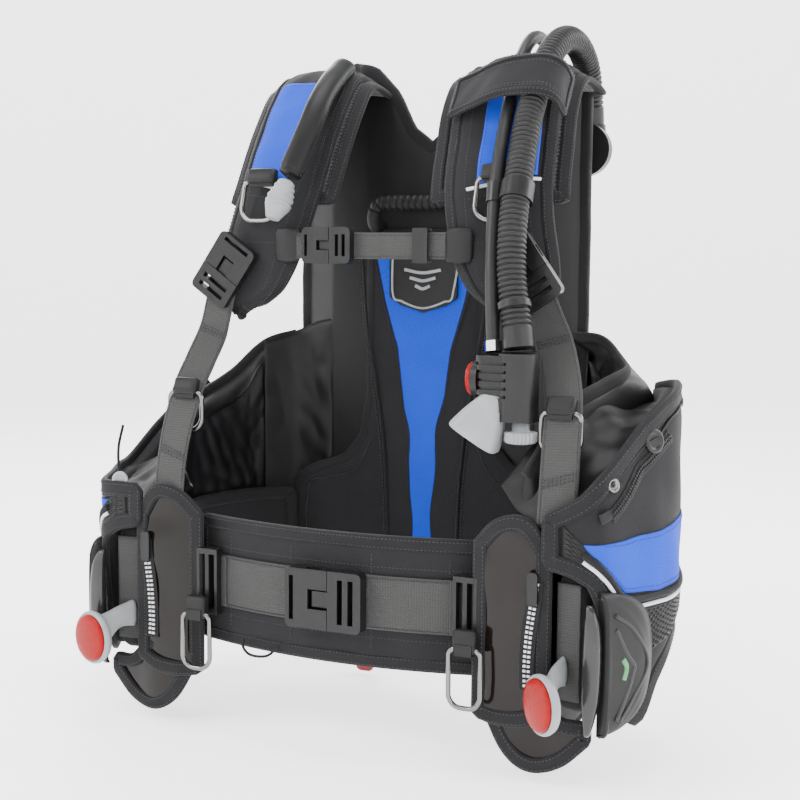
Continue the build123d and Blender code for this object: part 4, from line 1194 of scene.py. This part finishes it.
def route_curve(name, route, bevel=0.0):
    """A smooth NURBS line with the route's points as its control points."""
    line = bpy.data.curves.new(name, "CURVE")
    line.dimensions = "3D"
    spline = line.splines.new("NURBS")
    spline.points.add(len(route) - 1)
    spline.points.foreach_set("co", np.hstack([np.array(route) * MM, np.ones((len(route), 1))]).ravel())
    spline.order_u = 3
    spline.use_endpoint_u = True
    spline.resolution_u = 24
    line.bevel_depth = bevel
    line.bevel_resolution = 6
    line.use_fill_caps = True
    return line


def points_along(route, count):
    """Evenly spaced points read from a route's own smooth line, in millimetres."""
    line = bpy.data.objects.new("line_reader", route_curve("line_reader", route))
    mesh = bpy.data.meshes.new_from_object(line)
    dense = np.empty(3 * len(mesh.vertices))
    mesh.vertices.foreach_get("co", dense)
    dense = dense.reshape(-1, 3) / MM
    bpy.data.meshes.remove(mesh)
    bpy.data.objects.remove(line)
    run = np.concatenate([[0], np.cumsum(np.linalg.norm(np.diff(dense, axis=0), axis=1))])
    even = np.linspace(0, run[-1], count)
    return np.stack([np.interp(even, run, dense[:, k]) for k in range(3)], 1), run[-1]


def make_feed_hose():
    """The low-pressure feed hose: one free hose from the inflator up over the shoulder and down
    behind it, ending in its quick-connect fitting."""
    hose = bpy.data.objects.new("feed_hose", route_curve("feed_hose", FEED_ROUTE, 6.3 * MM))
    bpy.context.scene.collection.objects.link(hose)
    hose.data.materials.append(FINISHES["hose"])
    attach(hose, "vest")
    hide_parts("lp_hose")


def make_breathing_hose(sizes):
    """The corrugated hose: rounded ridges by radius, each a rectified sine along the line, with a
    smooth cuff at each end."""
    path, length = points_along(HOSE_ROUTE, 1300)
    s = np.linspace(0, length, 1300)
    ridge = np.abs(np.sin(math.pi * s / (sizes.corrugation / MM))) ** 0.6
    radius = 10.6 + 2.3 * ridge
    cuff = np.minimum(s, length - s) < 17
    radius = np.where(cuff, 12.9, radius)
    hose = tube("corrugated_hose_cover", path, radius, FINISHES["hose"], sides=36,
                up=(1, 0.1, 0.2))
    replaced(hose, "corrugated_hose")


def make_flap(sizes):
    """The flap that holds both hoses down on the shoulder, with its hem and stitching."""
    line = smooth_line([(60, 6), (84, 18), (106, 29), (122, 33.6), (142, 35), (158, 32.6), (168, 22),
                        (171, 2)], 60)
    local_up = np.array([0, -0.832, 0.555])
    along = np.array([0, -0.555, -0.832])
    origin = np.array([0, -195, 270])
    across = origin + line[:, :1] * np.array([1.0, 0, 0]) + line[:, 1:] * local_up
    v = np.linspace(-20, 20, 24)[:, None, None]
    face = across[None] + along * v
    under = face - outward(face, (115, -160, 230)) * 4.0
    cover, top = lens("hose_flap_cover", face, under, FINISHES["cordura"], power=8.0, rim=0.5,
                      relief=wrinkle(face, 30, 0.5, 61))
    replaced(cover, "hose_flap")
    bound("hose_flap", top, sizes, thickness=3.4, width=7.0)
    seam_rows("hose_flap_hem", top, [((place, 0.03), (place, 0.97)) for place in (0.16, 0.84, 0.78)], sizes)


def make_sleeve(sizes):
    """The rolled sleeve over the dump cord: a soft tube, creased along its length, and the ribbed
    knob below it."""
    path, _ = points_along(SLEEVE_ROUTE, 90)
    turn = np.linspace(0, 2 * math.pi, 40, endpoint=False)
    radius = 11.4 + 0.7 * np.sin(3 * turn)[None] + wrinkle(path, 40, 0.25, 71)[:, None]
    radius[:3] *= 0.94
    radius[-3:] *= 0.94
    tangent = unit(np.gradient(path, axis=0))
    first = unit(np.cross(tangent, np.array([1.0, 0.1, 0.1])))
    second = np.cross(tangent, first)
    rings = path[:, None] + radius[..., None] * (first[:, None] * np.cos(turn)[None, :, None]
                                                  + second[:, None] * np.sin(turn)[None, :, None])
    sleeve = skin("dump_sleeve_cover", rings, FINISHES["shell"], "vest")
    replaced(sleeve, "dump_sleeve")
    seam = rings[:, 30] + unit(rings[:, 30] - path) * 0.3
    stitches("dump_sleeve_seam", [(seam, unit(rings[:, 30] - path), 0)], FINISHES["thread"],
             sizes.stitch / MM)
    start, end = (np.array(place, float) for place in KNOB_ROUTE)
    way = unit(end - start)
    top = end + way * 7.0
    s = np.linspace(0, 40, 120)
    outline = np.interp(s, [0, 2, 17, 27, 39, 40], [6.5, 8.6, 12.6, 12.6, 7.2, 5.0])
    ribs = 0.8 * np.clip(np.sin(s * 2 * math.pi / 5.6), -0.2, 1) * ((s > 3) & (s < 26))
    profile = np.stack([s, outline - 0.5 + ribs], 1)
    knob = turned("dump_knob_grip", profile, top, way, FINISHES["silver"], "dump_knob", 48)
    replaced(knob, "dump_knob")
    cord = smooth_line([top - way * 25, top - way * 12, top + way * 2], 20)
    tube("dump_cord", cord, 1.5, FINISHES["binding"], "dump_knob", sides=10)


def make_mouthpiece():
    """The mouthpiece: a rounded oblong that flares from the valve to its rim, hollow at the end."""
    root, rim = np.array([147, -309, 10.0]), np.array([129, -314, -30.0])
    w = np.array([0, 0.06, 0.2, 0.42, 0.66, 0.86, 0.96, 1.0, 0.975, 0.8, 0.55])
    across = np.array([7.4, 9.2, 12.0, 17.0, 20.6, 23.4, 24.4, 24.0, 21.8, 18, 12])
    deep = np.array([9.0, 12.6, 13.6, 13.4, 13.6, 14.4, 14.8, 14.4, 12.4, 9.6, 7])
    line = root + (rim - root) * w[:, None]
    x_root, x_rim = np.array([1.0, 0, -0.2]), np.array([0.86, 0, -0.51])
    right = unit(x_root * (1 - w[:, None]) + x_rim * w[:, None])
    turn = np.linspace(0, 2 * math.pi, 48, endpoint=False) + math.pi / 48
    x = np.sign(np.cos(turn)) * np.abs(np.cos(turn)) ** 0.55
    y = np.sign(np.sin(turn)) * np.abs(np.sin(turn)) ** 0.55
    sideways = right[:, None] * (x * across[:, None])[..., None]
    forward = np.array([0, 1.0, 0]) * (y * deep[:, None])[..., None]
    rings = line[:, None] + sideways + forward
    made = skin("mouthpiece_shell", rings, FINISHES["silver"], "vest")
    modifier = made.modifiers.new("round", "SUBSURF")
    modifier.levels = modifier.render_levels = 1
    replaced(made, "mouthpiece")


def make_inflator():
    """The inflator's buttons and the knurled release under it, as turned pieces."""
    dome = [(-1.4, 0.5), (-1.4, 9), (-0.6, 13.2), (0.9, 14.4), (2.6, 14.6), (7.0, 14.4)]
    button = turned("inflate_button_cap", dome, (122.5, -305, 21), (1, 0, 0), FINISHES["red"],
                    "inflate_button",
                    56)
    replaced(button, "inflate_button")
    turn = np.linspace(0, 2 * math.pi, 120, endpoint=False)
    profile = np.array([(0, 7.6), (-8, 7.6), (-8.2, 12), (-9, 13.6), (-16, 13.8), (-18, 12.6), (-18.6, 10),
                        (-17.8, 6), (-17.8, 0.6)])
    knurl = np.array([0, 0, 0, 0.7, 0.7, 0.3, 0, 0, 0])
    radius = profile[:, 1:] + knurl[:, None] * np.sign(np.sin(24 * turn))[None]
    rings = np.stack([169 + radius * np.cos(turn), -306 + radius * np.sin(turn),
                      -14.3 + np.repeat(profile[:, :1], 120, 1)], -1)
    release = skin("deflate_button_cap", rings, FINISHES["silver"], "deflate_button")
    replaced(release, "deflate_button")


# How far out the accessory ring hangs on each side
ACCESSORY_RING = {"left": 205, "right": 168}


def make_hangers():
    """Small trim: ring carriers, cord loops and pulls."""
    for name, side in SIDES.items():
        carriers = (
            ("shoulder", (121, -243.5, 199), (14, 9), 0.28),
            ("waist", (135, -341.5, -203), (9, 12), 0.0),
            ("accessory", (ACCESSORY_RING[name], -306.5, -1), (11, 10), 0.3),
        )
        for kind, (x, y, z), (wide, tall), lean in carriers:
            spot = np.array([side * x, y, z])
            away = unit(np.array([0, -1, lean]))
            along = unit(np.array([0, -lean, -1.0]))
            line = np.array([spot + along * d for d in (-tall, -tall + 1.5, 0, tall - 5, tall - 3.5)])
            halves = [(wide - 1, 3), (wide + 1.5, 4.6), (wide + 1.5, 5.6), (wide + 1.5, 5.6), (wide, 4)]
            soft_box(f"{kind}_ring_carrier_{name}", line, halves,
                     (1, 0, 0), away, FINISHES["rubber"], "vest")
    loop = smooth_line([(-52, -334, -231), (-62, -338, -240), (-78, -339, -241), (-88, -336, -236),
                        (-90, -332, -229)], 60)
    tube("cummerbund_cord_loop", loop, 1.3, FINISHES["binding"], sides=10)
    pull = smooth_line(mirror([(246, -300, -42), (240, -316, -62), (232, -326, -86), (224, -331, -96)], -1),
                       50)
    tube("lobe_pull_cord", pull, 1.4, FINISHES["binding"], sides=10)
    eyelet("lobe_pull_disc", (-226, -333, -90), (0.1, -1, 0), 8.5, FINISHES["silver"])


# ------------------------------------------------------------------ stage
CAMERA_PLACE = (0.567, -1.4205, 0.1239)
CAMERA_YAW = 24.65
CAMERA_PITCH = 5.83
CAMERA_ROLL = 0.47
LENS_MM = 62.7
# Each lamp's name, place in metres, power in watts and width
LAMPS = (
    ("key", (-1.3, -1.7, 1.5), 44, 0.8), ("fill", (1.9, -1.2, 0.7), 16, 1.0),
    ("rim_left", (-1.2, 1.1, 1.3), 30, 0.9), ("rim_right", (1.4, 1.0, 1.1), 30, 0.9),
    ("top", (0.1, -0.3, 1.9), 34, 1.0),
)


def make_camera():
    """The camera, turned by its yaw, then its pitch, then its roll."""
    yaw, pitch, roll = (math.radians(a) for a in (CAMERA_YAW, CAMERA_PITCH, CAMERA_ROLL))
    ahead = np.array([-math.sin(yaw) * math.cos(pitch), math.cos(yaw) * math.cos(pitch), -math.sin(pitch)])
    right = np.array([math.cos(yaw), math.sin(yaw), 0])
    up = np.cross(right, ahead)
    tilted = math.cos(roll) * right + math.sin(roll) * up
    upward = -math.sin(roll) * right + math.cos(roll) * up
    turn = np.eye(4)
    turn[:3] = np.stack([tilted, upward, -ahead, CAMERA_PLACE], 1)
    lens_data = bpy.data.cameras.new("view")
    lens_data.lens = LENS_MM
    lens_data.sensor_width = 36
    camera = bpy.data.objects.new("view", lens_data)
    camera.matrix_world = Matrix(turn.tolist())
    bpy.context.scene.collection.objects.link(camera)
    bpy.context.scene.camera = camera


def make_floor():
    """A wide glowing dish: flat under the vest, and rolling up into its own pale wall."""
    level = (CAD_BOX[0][2] - 0.004) / MM
    reach = np.array([1, 1500, 2800, 3400, 3900, 4300, 4560, 4700, 4760, 4800])
    climb = np.array([0, 0, 0, 60, 240, 560, 1000, 1500, 2100, 3000])
    turn = np.linspace(0, 2 * math.pi, 96, endpoint=False)
    rings = np.stack([reach[:, None] * np.cos(turn), reach[:, None] * np.sin(turn),
                      level + climb[:, None] + 0 * turn[None]], -1)
    mesh = bpy.data.meshes.new("floor")
    row, column = quads(*rings.shape[:2])
    column = column % 96
    mesh.from_pydata((rings.reshape(-1, 3) * MM).tolist(), [], (row * 96 + column)[:, ::-1].tolist())
    mesh.polygons.foreach_set("use_smooth", np.ones(len(mesh.polygons), bool))
    floor = bpy.data.objects.new("floor", mesh)
    bpy.context.scene.collection.objects.link(floor)
    pale, _, shader = shader_nodes("pale_floor")
    shader.inputs["Base Color"].default_value = (0.93, 0.93, 0.93, 1)
    shader.inputs["Roughness"].default_value = 0.9
    shader.inputs["Emission Color"].default_value = (1, 1, 1, 1)
    shader.inputs["Emission Strength"].default_value = 1.3
    mesh.materials.append(pale)


def make_lights():
    """An even white sky, and five soft lamps that all face the vest."""
    world = bpy.data.worlds.new("studio")
    world.use_nodes = True
    world.node_tree.nodes["Background"].inputs["Color"].default_value = (1, 1, 1, 1)
    world.node_tree.nodes["Background"].inputs["Strength"].default_value = 1.15
    bpy.context.scene.world = world
    for name, place, watts, width in LAMPS:
        data = bpy.data.lights.new(name, "AREA")
        data.energy = watts
        data.size = width
        lamp = bpy.data.objects.new(name, data)
        aim = Vector((0, -0.2, 0)) - Vector(place)
        lamp.matrix_world = Matrix.Translation(place) @ aim.to_track_quat("-Z", "Y").to_matrix().to_4x4()
        bpy.context.scene.collection.objects.link(lamp)


# ------------------------------------------------------------------ finishes on the hard pieces
HARD_FINISHES = {
    "black": [
        "back_plate", "cam_buckle", "cam_lever", "waist_buckle_female", "waist_buckle_male",
        "chest_buckle_female", "chest_buckle_male", "shoulder_buckle_females", "shoulder_buckle_male_left",
        "shoulder_buckle_male_right", "shoulder_elbow", "rear_dump_valve", "inflator_body", "hose_clips",
        "webbing_sliders", "zip_pull_left", "zip_pull_right",
    ],
    "rubber": ["badge", "pocket_fairings", "ring_tabs"],
    "webbing_plain": ["tank_band", "tank_positioning_strap"],
    "steel": ["shoulder_ring_left", "shoulder_ring_right", "waist_ring_left", "waist_ring_right",
              "accessory_ring_left", "accessory_ring_right"],
    "chrome": ["lp_fitting", "hose_nut"],
    "dark_red": ["dump_tab"],
}


def finish_hard_pieces():
    """Gives each bare frame node its plastic, rubber, webbing or metal."""
    for finish, names in HARD_FINISHES.items():
        for name in names:
            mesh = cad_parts[name].data
            mesh.materials.clear()
            mesh.materials.append(FINISHES[finish])


# ------------------------------------------------------------------ operators
def colours():
    """The colours set in the panel."""
    return bpy.context.scene.vest_colours


def sizes():
    """The sizes set in the panel."""
    return bpy.context.scene.vest_sizes


class VEST_OT_stage(bpy.types.Operator):
    """Places the camera, the floor and the studio lights"""
    bl_idname = "vest.stage"
    bl_label = "Camera, floor and lights"

    def execute(self, context):
        make_camera()
        make_floor()
        make_lights()
        return {"FINISHED"}


class VEST_OT_finishes(bpy.types.Operator):
    """Mixes every cloth, plastic and metal, and finishes the hard pieces of the frame"""
    bl_idname = "vest.finishes"
    bl_label = "Finishes"

    def execute(self, context):
        make_finishes(colours())
        finish_hard_pieces()
        return {"FINISHED"}


class VEST_OT_feed_hose(bpy.types.Operator):
    """Makes the free low-pressure feed hose"""
    bl_idname = "vest.feed_hose"
    bl_label = "Feed hose"

    def execute(self, context):
        make_feed_hose()
        return {"FINISHED"}


class VEST_OT_breathing_hose(bpy.types.Operator):
    """Makes the corrugated hose, the flap over it and the inflator's fine pieces"""
    bl_idname = "vest.breathing_hose"
    bl_label = "Corrugated hose and inflator"

    def execute(self, context):
        make_breathing_hose(sizes())
        make_flap(sizes())
        make_mouthpiece()
        make_inflator()
        return {"FINISHED"}


class VEST_OT_back(bpy.types.Operator):
    """Makes the back air cell, the back pad with its stripe, and the badge's frame"""
    bl_idname = "vest.back"
    bl_label = "Back"

    def execute(self, context):
        padded(replaced(make_air_cell(sizes()), "air_cell_back"))
        make_back_pad(sizes())
        make_badge()
        make_handle()
        return {"FINISHED"}


class VEST_OT_straps(bpy.types.Operator):
    """Makes both padded shoulder straps"""
    bl_idname = "vest.straps"
    bl_label = "Shoulder straps"

    def execute(self, context):
        for name, side in SIDES.items():
            make_strap(name, side, sizes())
        return {"FINISHED"}


class VEST_OT_lobes(bpy.types.Operator):
    """Makes both lobes: wings, cargo pockets and all that is sewn on them"""
    bl_idname = "vest.lobes"
    bl_label = "Lobes and pockets"

    def execute(self, context):
        for name, side in SIDES.items():
            top = make_lobe(name, side, sizes())
            make_pocket_trim(name, side, top, sizes())
            make_front_panel(name, side, sizes())
            make_fairing(name, side)
        replaced(bpy.data.objects["pouch_zip_left_teeth"], "pocket_zips")
        return {"FINISHED"}


class VEST_OT_pouches(bpy.types.Operator):
    """Makes the sliding weight pouches and their pulls"""
    bl_idname = "vest.pouches"
    bl_label = "Weight pouches"

    def execute(self, context):
        for name, side in SIDES.items():
            make_pouch(name, side)
        return {"FINISHED"}


class VEST_OT_belts(bpy.types.Operator):
    """Makes the cummerbund and every length of webbing"""
    bl_idname = "vest.belts"
    bl_label = "Belt and webbing"

    def execute(self, context):
        make_cummerbund(sizes())
        make_belt()
        make_chest_strap()
        make_lower_straps(sizes())
        return {"FINISHED"}


class VEST_OT_trim(bpy.types.Operator):
    """Makes the dump sleeve, its knob, the ring carriers and the cord loops"""
    bl_idname = "vest.trim"
    bl_label = "Small trim"

    def execute(self, context):
        make_sleeve(sizes())
        make_hangers()
        return {"FINISHED"}


class VEST_PT_panel(bpy.types.Panel):
    """Lists the vest's sizes, colours and pieces"""
    bl_label = "Buoyancy Vest"
    bl_idname = "VEST_PT_panel"
    bl_space_type = "VIEW_3D"
    bl_region_type = "UI"
    bl_category = "Buoyancy Vest"

    def draw(self, context):
        column = self.layout.column(align=True)
        for group in (context.scene.vest_sizes, context.scene.vest_colours):
            for name in group.bl_rna.properties.keys():
                if name not in ("rna_type", "name"):
                    column.prop(group, name)
        for operator in OPERATORS:
            column.operator(operator.bl_idname)


OPERATORS = (
    VEST_OT_stage, VEST_OT_finishes, VEST_OT_feed_hose, VEST_OT_breathing_hose, VEST_OT_back, VEST_OT_straps,
    VEST_OT_lobes, VEST_OT_pouches, VEST_OT_belts, VEST_OT_trim,
)
CLASSES = (VestColours, VestSizes, *OPERATORS, VEST_PT_panel)


def register():
    """Registers the classes and hangs both property groups on the scene."""
    for item in CLASSES:
        bpy.utils.register_class(item)
    bpy.types.Scene.vest_colours = bpy.props.PointerProperty(type=VestColours)
    bpy.types.Scene.vest_sizes = bpy.props.PointerProperty(type=VestSizes)


def unregister():
    """Takes it all away again."""
    del bpy.types.Scene.vest_sizes
    del bpy.types.Scene.vest_colours
    for item in reversed(CLASSES):
        bpy.utils.unregister_class(item)


def main():
    """Makes every piece through its operator."""
    register()
    for operator in OPERATORS:
        group, call = operator.bl_idname.split(".")
        getattr(getattr(bpy.ops, group), call)()


if __name__ == "__main__":
    main()
